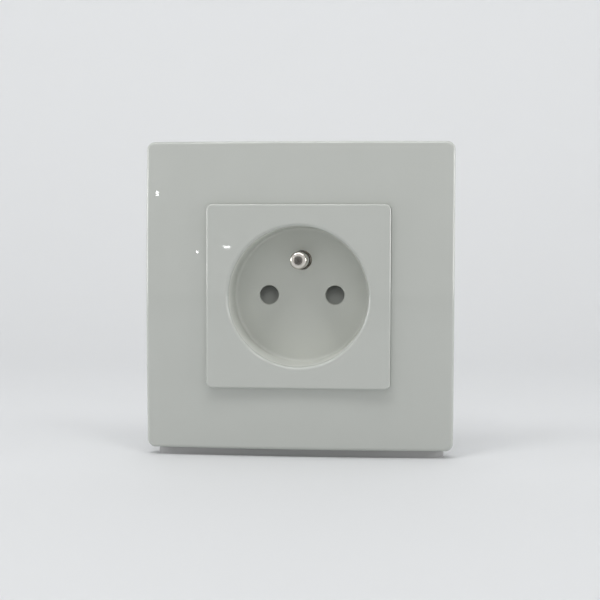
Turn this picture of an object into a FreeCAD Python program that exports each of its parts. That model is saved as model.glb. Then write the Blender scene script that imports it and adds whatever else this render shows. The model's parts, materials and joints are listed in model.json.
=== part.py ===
"""Flush-mounted wall socket with two round pin holes and a round earth pin.

Millimetres. +Z is up, the room is at -Y and the wall plane is y = 0. The origin is the
point of the wall plane on the axis of the round plug well.
"""
import FreeCAD
import Part

import math
import os

from FreeCAD import Vector

# Cover frame: the square surround plate
FRAME_MARGIN = 7.5
FRAME_HEIGHT = 10.0
FRAME_DOME_RADIUS = 547.0
FRAME_CORNER_RADIUS = 2.2
FRAME_EDGE_RADIUS = 0.9
FRAME_WALL = 1.9
COLLAR_WALL = 1.6
TONGUE_WIDTH = 5.0
TONGUE_THICKNESS = 1.2
BARB_REACH = 0.9
BARB_HEIGHT = 1.2

# Socket cover: the raised square with the plug well
COVER_MARGIN = 4.1
COVER_STEP = 0.6
COVER_CORNER_RADIUS = 1.7
COVER_EDGE_RADIUS = 0.45
COVER_WALL = 1.6
COVER_FRONT_THICKNESS = 1.8
COVER_GAP = 0.15

# Plug well
WELL_RADIUS = 19.4
WELL_DEPTH = 15.0
WELL_WALL = 2.0
WELL_RIM_RADIUS = 1.0
WELL_FLOOR_RADIUS = 1.6
FLOOR_THICKNESS = 1.2

# Standard plug interface
PIN_SPACING = 19.0
PIN_HOLE_RADIUS = 2.7
PIN_HOLE_CHAMFER = 0.25
PLUG_PIN_RADIUS = 2.4
PLUG_PIN_LENGTH = 19.0
PLUG_PIN_END_GAP = 0.6
EARTH_PIN_OFFSET = 10.0

# Earth pin
EARTH_PIN_RADIUS = 2.4
EARTH_PIN_PROJECTION = 14.0
EARTH_PIN_TIP_RADIUS = 0.9
EARTH_PIN_CROWN = 0.08
EARTH_PIN_NECK_RADIUS = 2.0
EARTH_PIN_HOLE_GAP = 0.4
EARTH_PIN_COLLAR_RADIUS = 3.8
EARTH_PIN_COLLAR_LENGTH = 1.5
EARTH_PIN_SHANK_RADIUS = 1.9
EARTH_PIN_HEAD_RADIUS = 2.6
EARTH_PIN_HEAD_LENGTH = 1.0

# Shutter slide, its spring and its guide
SHUTTER_THICKNESS = 5.6
SHUTTER_LAP = 0.9
SHUTTER_SIDE_LAP = 1.4
SHUTTER_TRAVEL = 6.4
SHUTTER_CLEARANCE = 0.3
RAMP_HALF_WIDTH = 3.1
RAMP_BACK_LEFT = 1.6
SHUTTER_PEG_LENGTH = 2.0
GUIDE_THICKNESS = 1.6
GUIDE_EDGE_GAP = 0.3
GUIDE_HOLE_GAP = 0.6
RAIL_WIDTH = 1.2
RAIL_STOP_LENGTH = 4.0
RAIL_STOP_HEIGHT = 1.0
SPRING_COIL_RADIUS = 1.5
SPRING_WIRE_RADIUS = 0.2
SPRING_TURNS = 9
SPRING_STEPS_PER_TURN = 16
SPRING_WIRE_SIDES = 6
SPRING_LENGTH = 12.4
SPRING_PEG_GAP = 0.35
SEAT_WIDTH = 4.8
SEAT_HEIGHT = 2.0
SEAT_PEG_LENGTH = 1.5

# Base housing
BASE_WALL = 1.8
BASE_WELL_GAP = 0.8
BASE_CORNER_RADIUS = 12.0
POST_RADIUS = 2.6
POST_WELL_GAP = 0.9
HEAD_NOTCH_GAP = 0.5
RIB_THICKNESS = 1.0
BARRIER_THICKNESS = 1.6
RIB_FRONT_GAP = 0.3
BASE_EDGE_RADIUS = 0.8

# Strip contacts and earth strap
STRIP_THICKNESS = 0.7
CONTACT_HALF_WIDTH = 3.0
CONTACT_PINCH_HALF_GAP = 2.1
CONTACT_MOUTH_FLARE = 0.9
CONTACT_ROOT_FLARE = 0.5
CONTACT_MOUTH_LENGTH = 2.7
CONTACT_ROOT_LENGTH = 1.5
CONTACT_MOUTH_GAP = 0.4
TONGUE_STRIP_HALF_WIDTH = 2.1
EARTH_STRAP_HALF_WIDTH = 3.0
EARTH_STRAP_MARGIN = 3.5
GRIP_THICKNESS = 0.5
GRIP_LENGTH = 3.5
GRIP_GAP = 0.05

# Terminals
CAGE_WALL = 1.2
CAGE_SIDE_GAP = 0.2
CAGE_HEIGHT = 6.0
CAGE_TRAVEL = 0.6
CONDUCTOR_SPACE = 4.0
WIRE_HOLE_RADIUS = 2.0
CAGE_NOTCH_GAP = 0.5
CAGE_END_GAP = 0.2
CAGE_STRAP_GAP = 0.5
CAGE_BOND_GAP = 0.5
TERMINAL_OFFSET_Z = 14.0
TERMINAL_SCREW_RADIUS = 1.75
TERMINAL_HEAD_RADIUS = 2.8
TERMINAL_HEAD_LENGTH = 2.0
TERMINAL_HEAD_GAP = 0.4
ACCESS_HOLE_GAP = 0.4
CAGE_SEAT_HEIGHT = 1.2
CAGE_SEAT_WALL = 0.8

# Steel mounting plate
PLATE_THICKNESS = 1.2
PLATE_CORNER_RADIUS = 6.0
PLATE_WELL_GAP = 0.6
BOX_SCREW_SPACING = 60.0
BOX_SLOT_LENGTH = 6.5
BOX_SLOT_WIDTH = 4.4
BOX_SLOT_MARGIN = 2.25
BOX_SCREW_HEAD_RADIUS = 4.0
BOX_SCREW_HEAD_HEIGHT = 3.0
BOX_SCREW_HEAD_GAP = 1.0
TAB_OFFSET = 15.0
TAB_HALF_WIDTH = 4.2
TAB_HEIGHT = 4.3
TAB_WINDOW_GAP = 0.3
LIP_HEIGHT = 2.0
LIP_HALF_LENGTH = 22.0

# Fasteners
SCREW_RADIUS = 1.5
SCREW_HOLE_GAP = 0.1
SCREW_HEAD_RADIUS = 2.7
SCREW_HEAD_LENGTH = 2.0
SCREW_TIP_GAP = 1.0
CROSS_RECESS_WIDTH = 0.7
CROSS_RECESS_DEPTH = 1.0
RIVET_HEAD_RADIUS = 2.6
RIVET_HEAD_LENGTH = 1.2
BOND_RIVET_RADIUS = 1.0
BOND_RIVET_HEAD_RADIUS = 2.0
BOND_RIVET_HEAD_LENGTH = 1.0
BOND_HALF_WIDTH = 2.4
BOND_STANDOFF = 0.5
BOND_FOOT_MARGIN = 2.8
BOND_COLLAR_GAP = 0.5
BOND_ENTRY_GAP = 0.3
BOND_ENTRY_OFFSET = 0.7

# Levels along Y, from the room to the back of the base
COVER_FACE = -(FRAME_HEIGHT + COVER_STEP)
PLATE_FRONT = -PLATE_THICKNESS
FLOOR_FRONT = COVER_FACE + WELL_DEPTH
FLOOR_BACK = FLOOR_FRONT + FLOOR_THICKNESS
SHUTTER_FRONT = FLOOR_BACK + SHUTTER_CLEARANCE
SHUTTER_BACK = SHUTTER_FRONT + SHUTTER_THICKNESS
SHUTTER_MIDDLE = (SHUTTER_FRONT + SHUTTER_BACK) / 2
GUIDE_FRONT = SHUTTER_BACK + SHUTTER_CLEARANCE
GUIDE_BACK = GUIDE_FRONT + GUIDE_THICKNESS
EAR_BACK = GUIDE_BACK + BASE_WALL
BOND_FRONT = EAR_BACK + BOND_ENTRY_OFFSET
BOND_BACK = BOND_FRONT + STRIP_THICKNESS
PLUG_PIN_REACH = FLOOR_FRONT + PLUG_PIN_LENGTH + PLUG_PIN_END_GAP
CAGE_REACH = BOND_BACK + CAGE_BOND_GAP + CAGE_WALL + CONDUCTOR_SPACE
STRIP_FRONT = max(PLUG_PIN_REACH, CAGE_REACH)
STRIP_BACK = STRIP_FRONT + STRIP_THICKNESS
CAGE_FRONT = STRIP_FRONT - CONDUCTOR_SPACE - CAGE_WALL
CAGE_BACK = STRIP_BACK + CAGE_TRAVEL + CAGE_WALL
WIRE_LEVEL = STRIP_FRONT - CONDUCTOR_SPACE / 2
BASE_FLOOR = CAGE_BACK + CAGE_SEAT_HEIGHT
BASE_BACK = BASE_FLOOR + BASE_WALL

# Places and half-sizes across the wall plane
WELL_OUTER_RADIUS = WELL_RADIUS + WELL_WALL
COVER_HALF = WELL_OUTER_RADIUS + COVER_MARGIN
OPENING_HALF = COVER_HALF + COVER_GAP
COLLAR_HALF = OPENING_HALF + COLLAR_WALL
PLATE_HALF = BOX_SCREW_SPACING / 2 + BOX_SLOT_LENGTH / 2 + BOX_SLOT_MARGIN
FRAME_HALF = PLATE_HALF + FRAME_MARGIN
PIN_X = PIN_SPACING / 2
FIXING_OFFSET = (WELL_OUTER_RADIUS + POST_WELL_GAP + POST_RADIUS) / math.sqrt(2)
NOTCH_START = FIXING_OFFSET - SCREW_HEAD_RADIUS - HEAD_NOTCH_GAP
CAGE_HALF_WIDTH = TONGUE_STRIP_HALF_WIDTH + CAGE_SIDE_GAP + CAGE_WALL
TERMINAL_OFFSET_X = NOTCH_START - BASE_WALL - CAGE_NOTCH_GAP - CAGE_HALF_WIDTH
EARTH_STRAP_TOP = EARTH_PIN_OFFSET + EARTH_STRAP_MARGIN
EARTH_TERMINAL_Z = EARTH_STRAP_TOP + CAGE_STRAP_GAP + CAGE_HEIGHT / 2
BASE_INNER_HALF = WELL_OUTER_RADIUS + BASE_WELL_GAP
BASE_HALF = BASE_INNER_HALF + BASE_WALL
REAR_INNER_HALF = max(EARTH_TERMINAL_Z, TERMINAL_OFFSET_Z) + CAGE_HEIGHT / 2 + CAGE_END_GAP
BASE_REAR_HALF = REAR_INNER_HALF + BASE_WALL
BOND_LEG_LOW = max(BASE_HALF, BASE_REAR_HALF) + BOND_STANDOFF
BOND_LEG_HIGH = BOND_LEG_LOW + STRIP_THICKNESS
BOND_RIVET_Z = max(COLLAR_HALF, BOND_LEG_HIGH) + BOND_COLLAR_GAP + BOND_RIVET_HEAD_RADIUS
GUIDE_RADIUS = BASE_INNER_HALF - GUIDE_EDGE_GAP
SHUTTER_HALF_HEIGHT = PIN_HOLE_RADIUS + SHUTTER_LAP
SHUTTER_HALF_WIDTH = PIN_X + PIN_HOLE_RADIUS + SHUTTER_SIDE_LAP
SPRING_SEAT_Z = -(SHUTTER_HALF_HEIGHT + SPRING_LENGTH)
SPRING_PEG_RADIUS = SPRING_COIL_RADIUS - SPRING_WIRE_RADIUS - SPRING_PEG_GAP
CONTACT_HALF_DEPTH = CONTACT_PINCH_HALF_GAP + CONTACT_ROOT_FLARE + STRIP_THICKNESS
SCREW_CORNERS = ((-1, 1), (1, -1))
RIVET_CORNERS = ((1, 1), (-1, -1))
TERMINAL_PLACES = {
    "live": (TERMINAL_OFFSET_X, -TERMINAL_OFFSET_Z),
    "neutral": (-TERMINAL_OFFSET_X, -TERMINAL_OFFSET_Z),
    "earth": (0.0, EARTH_TERMINAL_Z),
}


def block(x_span, y_span, z_span):
    """Return a box between the two limits of each span."""
    size = [high - low for low, high in (x_span, y_span, z_span)]
    return Part.makeBox(*size, Vector(x_span[0], y_span[0], z_span[0]))


def around(middle, half):
    """Return the span that reaches half to each side of middle."""
    return (middle - half, middle + half)


def cylinder(radius, x, z, y_span):
    """Return a round bar along Y, with its axis at x and z."""
    return Part.makeCylinder(radius, y_span[1] - y_span[0], Vector(x, y_span[0], z), Vector(0, 1, 0))


def rounded_block(half_x, half_z, radius, y_span):
    """Return a block centred on the Y axis, with its four edges along Y rounded."""
    shape = block(around(0, half_x), y_span, around(0, half_z))
    along_y = [edge for edge in shape.Edges if abs(edge.tangentAt(edge.FirstParameter).y) > 0.9]
    return shape.makeFillet(min(radius, 0.98 * min(half_x, half_z)), along_y)


def prism(points, offset):
    """Return the solid that a flat outline sweeps along the offset."""
    corners = [Vector(*point) for point in points]
    return Part.Face(Part.makePolygon(corners + corners[:1])).extrude(Vector(*offset))


def turned(segments):
    """Return the solid that a half-section in the XY plane gives when turned about Y."""
    return Part.Face(Part.Wire(segments)).revolve(Vector(0, 0, 0), Vector(0, 1, 0), 360)


def line(start, end):
    """Return a straight edge between two points of the XY plane."""
    return Part.LineSegment(Vector(*start, 0), Vector(*end, 0)).toShape()


def arc(start, middle, end):
    """Return a round edge through three points of the XY plane."""
    return Part.Arc(Vector(*start, 0), Vector(*middle, 0), Vector(*end, 0)).toShape()


def quarter_arc(start, end, centre, radius):
    """Return the rounding between two points, with its middle on the side away from the centre."""
    toward = Vector(start[0] + end[0] - 2 * centre[0], start[1] + end[1] - 2 * centre[1], 0)
    toward.normalize()
    middle = (centre[0] + radius * toward.x, centre[1] + radius * toward.y)
    return arc(start, middle, end)


def corner_places(corners):
    """Return the x and z of the fixing at each of the named corners."""
    return [(side_x * FIXING_OFFSET, side_z * FIXING_OFFSET) for side_x, side_z in corners]


def fuse_all(shape, others):
    """Return the shape with all the others joined to it."""
    return shape.fuse(list(others)).removeSplitter() if others else shape


def cut_all(shape, others):
    """Return the shape with all the others taken out of it."""
    return shape.cut(list(others)).removeSplitter() if others else shape


def dome(radius):
    """Return the ball that the front of the frame, or its inner face, is part of."""
    centre = Vector(0, FRAME_DOME_RADIUS - FRAME_HEIGHT, 0)
    return Part.makeSphere(radius, centre)


def frame_tongue(side_x, side_z):
    """Return one snap tongue of the frame, with the barb that enters the window of a tab."""
    x_span = around(side_x * TAB_OFFSET, TONGUE_WIDTH / 2)
    inner = PLATE_HALF + COVER_GAP
    outer = inner + TONGUE_THICKNESS
    end = PLATE_FRONT - COVER_GAP
    z_span = sorted((side_z * inner, side_z * outer))
    tongue = block(x_span, (-FRAME_HEIGHT, end), z_span)
    barb_level = PLATE_FRONT - TAB_HEIGHT / 2
    barb = prism(
        [
            (x_span[0], barb_level - BARB_HEIGHT / 2, side_z * inner),
            (x_span[0], barb_level - BARB_HEIGHT / 2, side_z * (inner - BARB_REACH)),
            (x_span[0], barb_level, side_z * (inner - BARB_REACH)),
            (x_span[0], barb_level + BARB_HEIGHT / 2, side_z * inner),
        ],
        (TONGUE_WIDTH, 0, 0),
    )
    return tongue.fuse(barb)


def cover_frame():
    """The surround plate: a domed shell with a collar round its opening and four tongues."""
    blank = rounded_block(FRAME_HALF, FRAME_HALF, FRAME_CORNER_RADIUS, (-FRAME_HEIGHT - 1, 0))
    outer = blank.common(dome(FRAME_DOME_RADIUS))
    front = [face for face in outer.Faces if isinstance(face.Surface, Part.Sphere)][0]
    outer = outer.makeFillet(FRAME_EDGE_RADIUS, front.OuterWire.Edges)
    inner_half = FRAME_HALF - FRAME_WALL
    inner_radius = max(FRAME_CORNER_RADIUS - FRAME_WALL, FRAME_EDGE_RADIUS)
    hollow = rounded_block(inner_half, inner_half, inner_radius, (-FRAME_HEIGHT - 1, 0))
    shell = outer.cut(hollow.common(dome(FRAME_DOME_RADIUS - FRAME_WALL)))
    collar = rounded_block(COLLAR_HALF, COLLAR_HALF, COVER_CORNER_RADIUS + COLLAR_WALL,
                           (-FRAME_HEIGHT, PLATE_FRONT))
    head_room = BOX_SCREW_HEAD_RADIUS + BOX_SCREW_HEAD_GAP
    head_top = PLATE_FRONT - BOX_SCREW_HEAD_HEIGHT - BOX_SCREW_HEAD_GAP
    notches = [cylinder(head_room + BOX_SLOT_LENGTH / 2, side * BOX_SCREW_SPACING / 2, 0,
                        (head_top, PLATE_FRONT)) for side in (-1, 1)]
    collar = cut_all(collar, notches)
    tongues = [frame_tongue(side_x, side_z) for side_x in (-1, 1) for side_z in (-1, 1)]
    inside = fuse_all(collar, tongues).common(outer)
    opening = rounded_block(OPENING_HALF, OPENING_HALF, COVER_CORNER_RADIUS + COVER_GAP,
                            (-FRAME_HEIGHT - 1, 1))
    return shell.fuse(inside).cut(opening).removeSplitter()


def well_cutter():
    """The space of the plug well, with the rounding of its rim and of its floor."""
    rim = WELL_RADIUS + WELL_RIM_RADIUS
    rim_end = COVER_FACE + WELL_RIM_RADIUS
    floor_start = FLOOR_FRONT - WELL_FLOOR_RADIUS
    floor_edge = WELL_RADIUS - WELL_FLOOR_RADIUS
    above = COVER_FACE - 1
    return turned([
        line((0, above), (rim, above)),
        line((rim, above), (rim, COVER_FACE)),
        quarter_arc((rim, COVER_FACE), (WELL_RADIUS, rim_end), (rim, rim_end), WELL_RIM_RADIUS),
        line((WELL_RADIUS, rim_end), (WELL_RADIUS, floor_start)),
        quarter_arc((WELL_RADIUS, floor_start), (floor_edge, FLOOR_FRONT), (floor_edge, floor_start),
                    WELL_FLOOR_RADIUS),
        line((floor_edge, FLOOR_FRONT), (0, FLOOR_FRONT)),
        line((0, FLOOR_FRONT), (0, above)),
    ])


def chamfered_hole(radius, chamfer, x, z, y_span):
    """Return a round hole along Y whose edge at the start of the span is chamfered."""
    cone = Part.makeCone(radius + chamfer, radius, chamfer, Vector(x, y_span[0], z), Vector(0, 1, 0))
    return cylinder(radius, x, z, (y_span[0] - 1, y_span[1] + 1)).fuse(cone)


def socket_cover():
    """The raised square: a hollow block with the well and two bosses for the cover screws."""
    body = rounded_block(COVER_HALF, COVER_HALF, COVER_CORNER_RADIUS, (COVER_FACE, PLATE_FRONT))
    front = min(body.Faces, key=lambda face: face.CenterOfMass.y)
    body = body.makeFillet(COVER_EDGE_RADIUS, front.OuterWire.Edges)
    inner_half = COVER_HALF - COVER_WALL
    ceiling = COVER_FACE + COVER_FRONT_THICKNESS
    hollow = rounded_block(inner_half, inner_half, COVER_CORNER_RADIUS, (ceiling, PLATE_FRONT))
    tube = cylinder(WELL_OUTER_RADIUS, 0, 0, (ceiling, FLOOR_BACK))
    places = corner_places(SCREW_CORNERS)
    bosses = [cylinder(POST_RADIUS, x, z, (ceiling, PLATE_FRONT)) for x, z in places]
    pilots = [cylinder(SCREW_RADIUS + SCREW_HOLE_GAP, x, z, (ceiling, PLATE_FRONT)) for x, z in places]
    pin_holes = [chamfered_hole(PIN_HOLE_RADIUS, PIN_HOLE_CHAMFER, side * PIN_X, 0,
                                (FLOOR_FRONT, FLOOR_BACK)) for side in (-1, 1)]
    earth_hole = cylinder(EARTH_PIN_RADIUS + EARTH_PIN_HOLE_GAP, 0, EARTH_PIN_OFFSET,
                          (FLOOR_FRONT - 1, FLOOR_BACK + 1))
    shape = fuse_all(body.cut(hollow), [tube] + bosses)
    return cut_all(shape, [well_cutter(), earth_hole] + pin_holes + pilots)


def earth_pin():
    """The round earth pin with its rounded tip, neck, collar, shank and riveted end."""
    tip = FLOOR_FRONT - EARTH_PIN_PROJECTION
    shoulder = tip + EARTH_PIN_CROWN
    crown_edge = EARTH_PIN_RADIUS - EARTH_PIN_TIP_RADIUS
    tip_end = shoulder + EARTH_PIN_TIP_RADIUS
    collar_start = GUIDE_FRONT - EARTH_PIN_COLLAR_LENGTH
    strap_back = GUIDE_BACK + STRIP_THICKNESS
    end = strap_back + EARTH_PIN_HEAD_LENGTH
    profile = [
        arc((0, tip), (crown_edge / 2, tip + EARTH_PIN_CROWN / 4), (crown_edge, shoulder)),
        quarter_arc((crown_edge, shoulder), (EARTH_PIN_RADIUS, tip_end), (crown_edge, tip_end),
                    EARTH_PIN_TIP_RADIUS),
    ]
    corners = [
        (EARTH_PIN_RADIUS, tip_end),
        (EARTH_PIN_RADIUS, FLOOR_FRONT),
        (EARTH_PIN_NECK_RADIUS, FLOOR_FRONT),
        (EARTH_PIN_NECK_RADIUS, collar_start),
        (EARTH_PIN_COLLAR_RADIUS, collar_start),
        (EARTH_PIN_COLLAR_RADIUS, GUIDE_FRONT),
        (EARTH_PIN_SHANK_RADIUS, GUIDE_FRONT),
        (EARTH_PIN_SHANK_RADIUS, strap_back),
        (EARTH_PIN_HEAD_RADIUS, strap_back),
        (EARTH_PIN_HEAD_RADIUS, end),
        (0, end),
        (0, tip),
    ]
    profile += [line(start, stop) for start, stop in zip(corners, corners[1:])]
    pin = turned(profile)
    pin.translate(Vector(0, 0, EARTH_PIN_OFFSET))
    return pin


def shutter_slide():
    """The plate that closes both pin holes, with the ramps that the plug's pins push down."""
    low, high = -SHUTTER_HALF_HEIGHT, SHUTTER_HALF_HEIGHT
    body = block(around(0, SHUTTER_HALF_WIDTH), (SHUTTER_FRONT, SHUTTER_BACK), (low, high))
    ramp_back = SHUTTER_BACK - RAMP_BACK_LEFT
    ramps = []
    for side in (-1, 1):
        start = side * PIN_X - RAMP_HALF_WIDTH
        ramps.append(prism(
            [
                (start, SHUTTER_FRONT - 1, -PIN_HOLE_RADIUS),
                (start, SHUTTER_FRONT, -PIN_HOLE_RADIUS),
                (start, ramp_back, PIN_HOLE_RADIUS),
                (start, ramp_back, high + 1),
                (start, SHUTTER_FRONT - 1, high + 1),
            ],
            (2 * RAMP_HALF_WIDTH, 0, 0),
        ))
    peg = Part.makeCylinder(SPRING_PEG_RADIUS, SHUTTER_PEG_LENGTH,
                            Vector(0, SHUTTER_MIDDLE, low), Vector(0, 0, -1))
    return cut_all(body.fuse(peg), ramps)


def coil_section(turns, pitch):
    """Return the corners of the wire's section at so many turns up the coil."""
    angle = 2 * math.pi * turns
    lead = math.atan2(pitch, 2 * math.pi * SPRING_COIL_RADIUS)
    outward = Vector(math.cos(angle), math.sin(angle), 0)
    along = Vector(-math.sin(angle) * math.cos(lead), math.cos(angle) * math.cos(lead), math.sin(lead))
    across = along.cross(outward)
    middle = outward * SPRING_COIL_RADIUS + Vector(0, 0, pitch * turns)
    corners = []
    for step in range(SPRING_WIRE_SIDES):
        side = 2 * math.pi * step / SPRING_WIRE_SIDES
        offset = outward * math.cos(side) + across * math.sin(side)
        corners.append(middle + offset * SPRING_WIRE_RADIUS)
    return corners


def shutter_spring():
    """The coil spring under the shutter slide, with its real turns in short straight steps."""
    pitch = (SPRING_LENGTH - 2 * SPRING_WIRE_RADIUS) / SPRING_TURNS
    steps = SPRING_TURNS * SPRING_STEPS_PER_TURN
    sections = [coil_section(step / SPRING_STEPS_PER_TURN, pitch) for step in range(steps + 1)]
    outlines = [sections[0], sections[-1][::-1]]
    for low, high in zip(sections, sections[1:]):
        for index in range(SPRING_WIRE_SIDES):
            after = (index + 1) % SPRING_WIRE_SIDES
            outlines.append([low[index], high[index], high[after]])
            outlines.append([low[index], high[after], low[after]])
    faces = [Part.Face(Part.makePolygon(outline + outline[:1])) for outline in outlines]
    coil = Part.Solid(Part.Shell(faces))
    coil.translate(Vector(0, SHUTTER_MIDDLE, SPRING_SEAT_Z + SPRING_WIRE_RADIUS))
    return coil


def shutter_guide():
    """The plate behind the shutter, with its rails, its stops and the seat of the spring."""
    plate = cylinder(GUIDE_RADIUS, 0, 0, (GUIDE_FRONT, GUIDE_BACK))
    rail_inner = SHUTTER_HALF_WIDTH + SHUTTER_CLEARANCE
    rail_outer = rail_inner + RAIL_WIDTH
    stop_low = SHUTTER_HALF_HEIGHT + SHUTTER_CLEARANCE
    rail_low = -(SHUTTER_HALF_HEIGHT + SHUTTER_TRAVEL)
    depth = (FLOOR_BACK, GUIDE_FRONT)
    additions = []
    for side in (-1, 1):
        rail = sorted((side * rail_inner, side * rail_outer))
        stop = sorted((side * (rail_inner - RAIL_STOP_LENGTH), side * rail_outer))
        additions.append(block(rail, depth, (rail_low, stop_low)))
        additions.append(block(stop, depth, (stop_low, stop_low + RAIL_STOP_HEIGHT)))
    seat = (SPRING_SEAT_Z - SEAT_HEIGHT, SPRING_SEAT_Z)
    additions.append(block(around(0, SEAT_WIDTH / 2), depth, seat))
    additions.append(Part.makeCylinder(SPRING_PEG_RADIUS, SEAT_PEG_LENGTH,
                                       Vector(0, SHUTTER_MIDDLE, SPRING_SEAT_Z), Vector(0, 0, 1)))
    through = (GUIDE_FRONT - 1, GUIDE_BACK + 1)
    holes = [cylinder(PLUG_PIN_RADIUS + GUIDE_HOLE_GAP, side * PIN_X, 0, through) for side in (-1, 1)]
    holes.append(cylinder(EARTH_PIN_SHANK_RADIUS + SCREW_HOLE_GAP, 0, EARTH_PIN_OFFSET, through))
    return cut_all(fuse_all(plate, additions), holes)


def cross_block(half, notch, radius, y_span):
    """Return a square block with its corners taken away to the notch, for the fixings' heads."""
    shape = block(around(0, half), y_span, around(0, half))
    reach = 2 * half
    corners = []
    for side_x in (-1, 1):
        for side_z in (-1, 1):
            x_span = sorted((side_x * notch, side_x * reach))
            z_span = sorted((side_z * notch, side_z * reach))
            corner = block(x_span, y_span, z_span)
            inner = [edge for edge in corner.Edges
                     if abs(abs(edge.CenterOfMass.x) - notch) < 0.01
                     and abs(abs(edge.CenterOfMass.z) - notch) < 0.01]
            corners.append(corner.makeFillet(radius, inner))
    return cut_all(shape, corners)


def base_ribs():
    """The barrier between the poles, and the ribs that hold the contacts and the cages."""
    deep = (CAGE_FRONT + CAGE_WALL, BASE_FLOOR)
    ribs = [block(around(0, BARRIER_THICKNESS / 2), (GUIDE_BACK + RIB_FRONT_GAP, BASE_FLOOR),
                  (-REAR_INNER_HALF, EARTH_PIN_OFFSET - EARTH_PIN_COLLAR_RADIUS - RIB_THICKNESS))]
    grip = CONTACT_HALF_WIDTH + STRIP_THICKNESS + GRIP_THICKNESS
    cage_x = TERMINAL_OFFSET_X - CAGE_HALF_WIDTH - CAGE_SIDE_GAP
    slot_half = TONGUE_STRIP_HALF_WIDTH + CAGE_SIDE_GAP
    for side in (-1, 1):
        across = around(side * PIN_X, CONTACT_HALF_DEPTH + GRIP_THICKNESS)
        ribs.append(block(across, deep, (grip, grip + RIB_THICKNESS)))
        slot = block(around(side * TERMINAL_OFFSET_X, slot_half),
                     (STRIP_FRONT - CAGE_SIDE_GAP, STRIP_BACK + CAGE_SIDE_GAP), (-grip - 2, 0))
        ribs.append(block(across, deep, (-grip - RIB_THICKNESS, -grip)).cut(slot))
        ribs.append(block(around(side * PIN_X, CONTACT_PINCH_HALF_GAP), (STRIP_BACK, BASE_FLOOR),
                          around(0, CONTACT_HALF_WIDTH)))
        ribs.append(block(sorted((side * cage_x, side * (cage_x - RIB_THICKNESS))), deep,
                          (-REAR_INNER_HALF, -TERMINAL_OFFSET_Z + CAGE_HEIGHT / 2)))
        earth_x = CAGE_HALF_WIDTH + CAGE_SIDE_GAP
        ribs.append(block(sorted((side * earth_x, side * (earth_x + RIB_THICKNESS))), deep,
                          (EARTH_TERMINAL_Z - CAGE_HEIGHT / 2, REAR_INNER_HALF)))
    return ribs


def base_housing():
    """The cup behind the wall plane: a wide front for the well and a cross-shaped back."""
    inner_radius = BASE_CORNER_RADIUS - BASE_WALL
    front = rounded_block(BASE_HALF, BASE_HALF, BASE_CORNER_RADIUS, (0, EAR_BACK))
    front_hollow = rounded_block(BASE_INNER_HALF, BASE_INNER_HALF, inner_radius, (0, GUIDE_BACK))
    notch_radius = SCREW_HEAD_RADIUS + HEAD_NOTCH_GAP
    rear = cross_block(BASE_REAR_HALF, NOTCH_START, notch_radius, (GUIDE_BACK, BASE_BACK))
    back = max(rear.Faces, key=lambda face: face.CenterOfMass.y)
    rear = rear.makeFillet(BASE_EDGE_RADIUS, back.OuterWire.Edges)
    ear_face = max(front.Faces, key=lambda face: face.CenterOfMass.y)
    front = front.makeFillet(BASE_EDGE_RADIUS, ear_face.OuterWire.Edges)
    rear_hollow = cross_block(REAR_INNER_HALF, NOTCH_START - BASE_WALL, notch_radius + BASE_WALL,
                              (GUIDE_BACK, BASE_FLOOR))
    places = corner_places(SCREW_CORNERS + RIVET_CORNERS)
    posts = [cylinder(POST_RADIUS, x, z, (0, GUIDE_BACK)) for x, z in places]
    head_radius = TERMINAL_HEAD_RADIUS + ACCESS_HOLE_GAP
    seats = [cylinder(head_radius + CAGE_SEAT_WALL, x, z, (CAGE_BACK, BASE_FLOOR))
             for x, z in TERMINAL_PLACES.values()]
    shape = cut_all(front.fuse(rear), [front_hollow, rear_hollow])
    shape = fuse_all(shape, posts + base_ribs() + seats)
    holes = [cylinder(SCREW_RADIUS + SCREW_HOLE_GAP, x, z, (-1, EAR_BACK + 1)) for x, z in places]
    holes += [cylinder(head_radius, x, z, (CAGE_BACK - 1, BASE_BACK + 1))
              for x, z in TERMINAL_PLACES.values()]
    for x, z in TERMINAL_PLACES.values():
        side = math.copysign(1, z)
        start = Vector(x, WIRE_LEVEL, side * (REAR_INNER_HALF - RIB_THICKNESS))
        holes.append(Part.makeCylinder(WIRE_HOLE_RADIUS, BASE_WALL + 2 * RIB_THICKNESS, start,
                                       Vector(0, 0, side)))
    holes.append(block(around(0, BOND_HALF_WIDTH + BOND_ENTRY_GAP),
                       (BOND_FRONT - BOND_ENTRY_GAP, BOND_BACK + BOND_ENTRY_GAP),
                       (REAR_INNER_HALF - RIB_THICKNESS, BASE_REAR_HALF + 1)))
    return cut_all(shape, holes)


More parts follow.
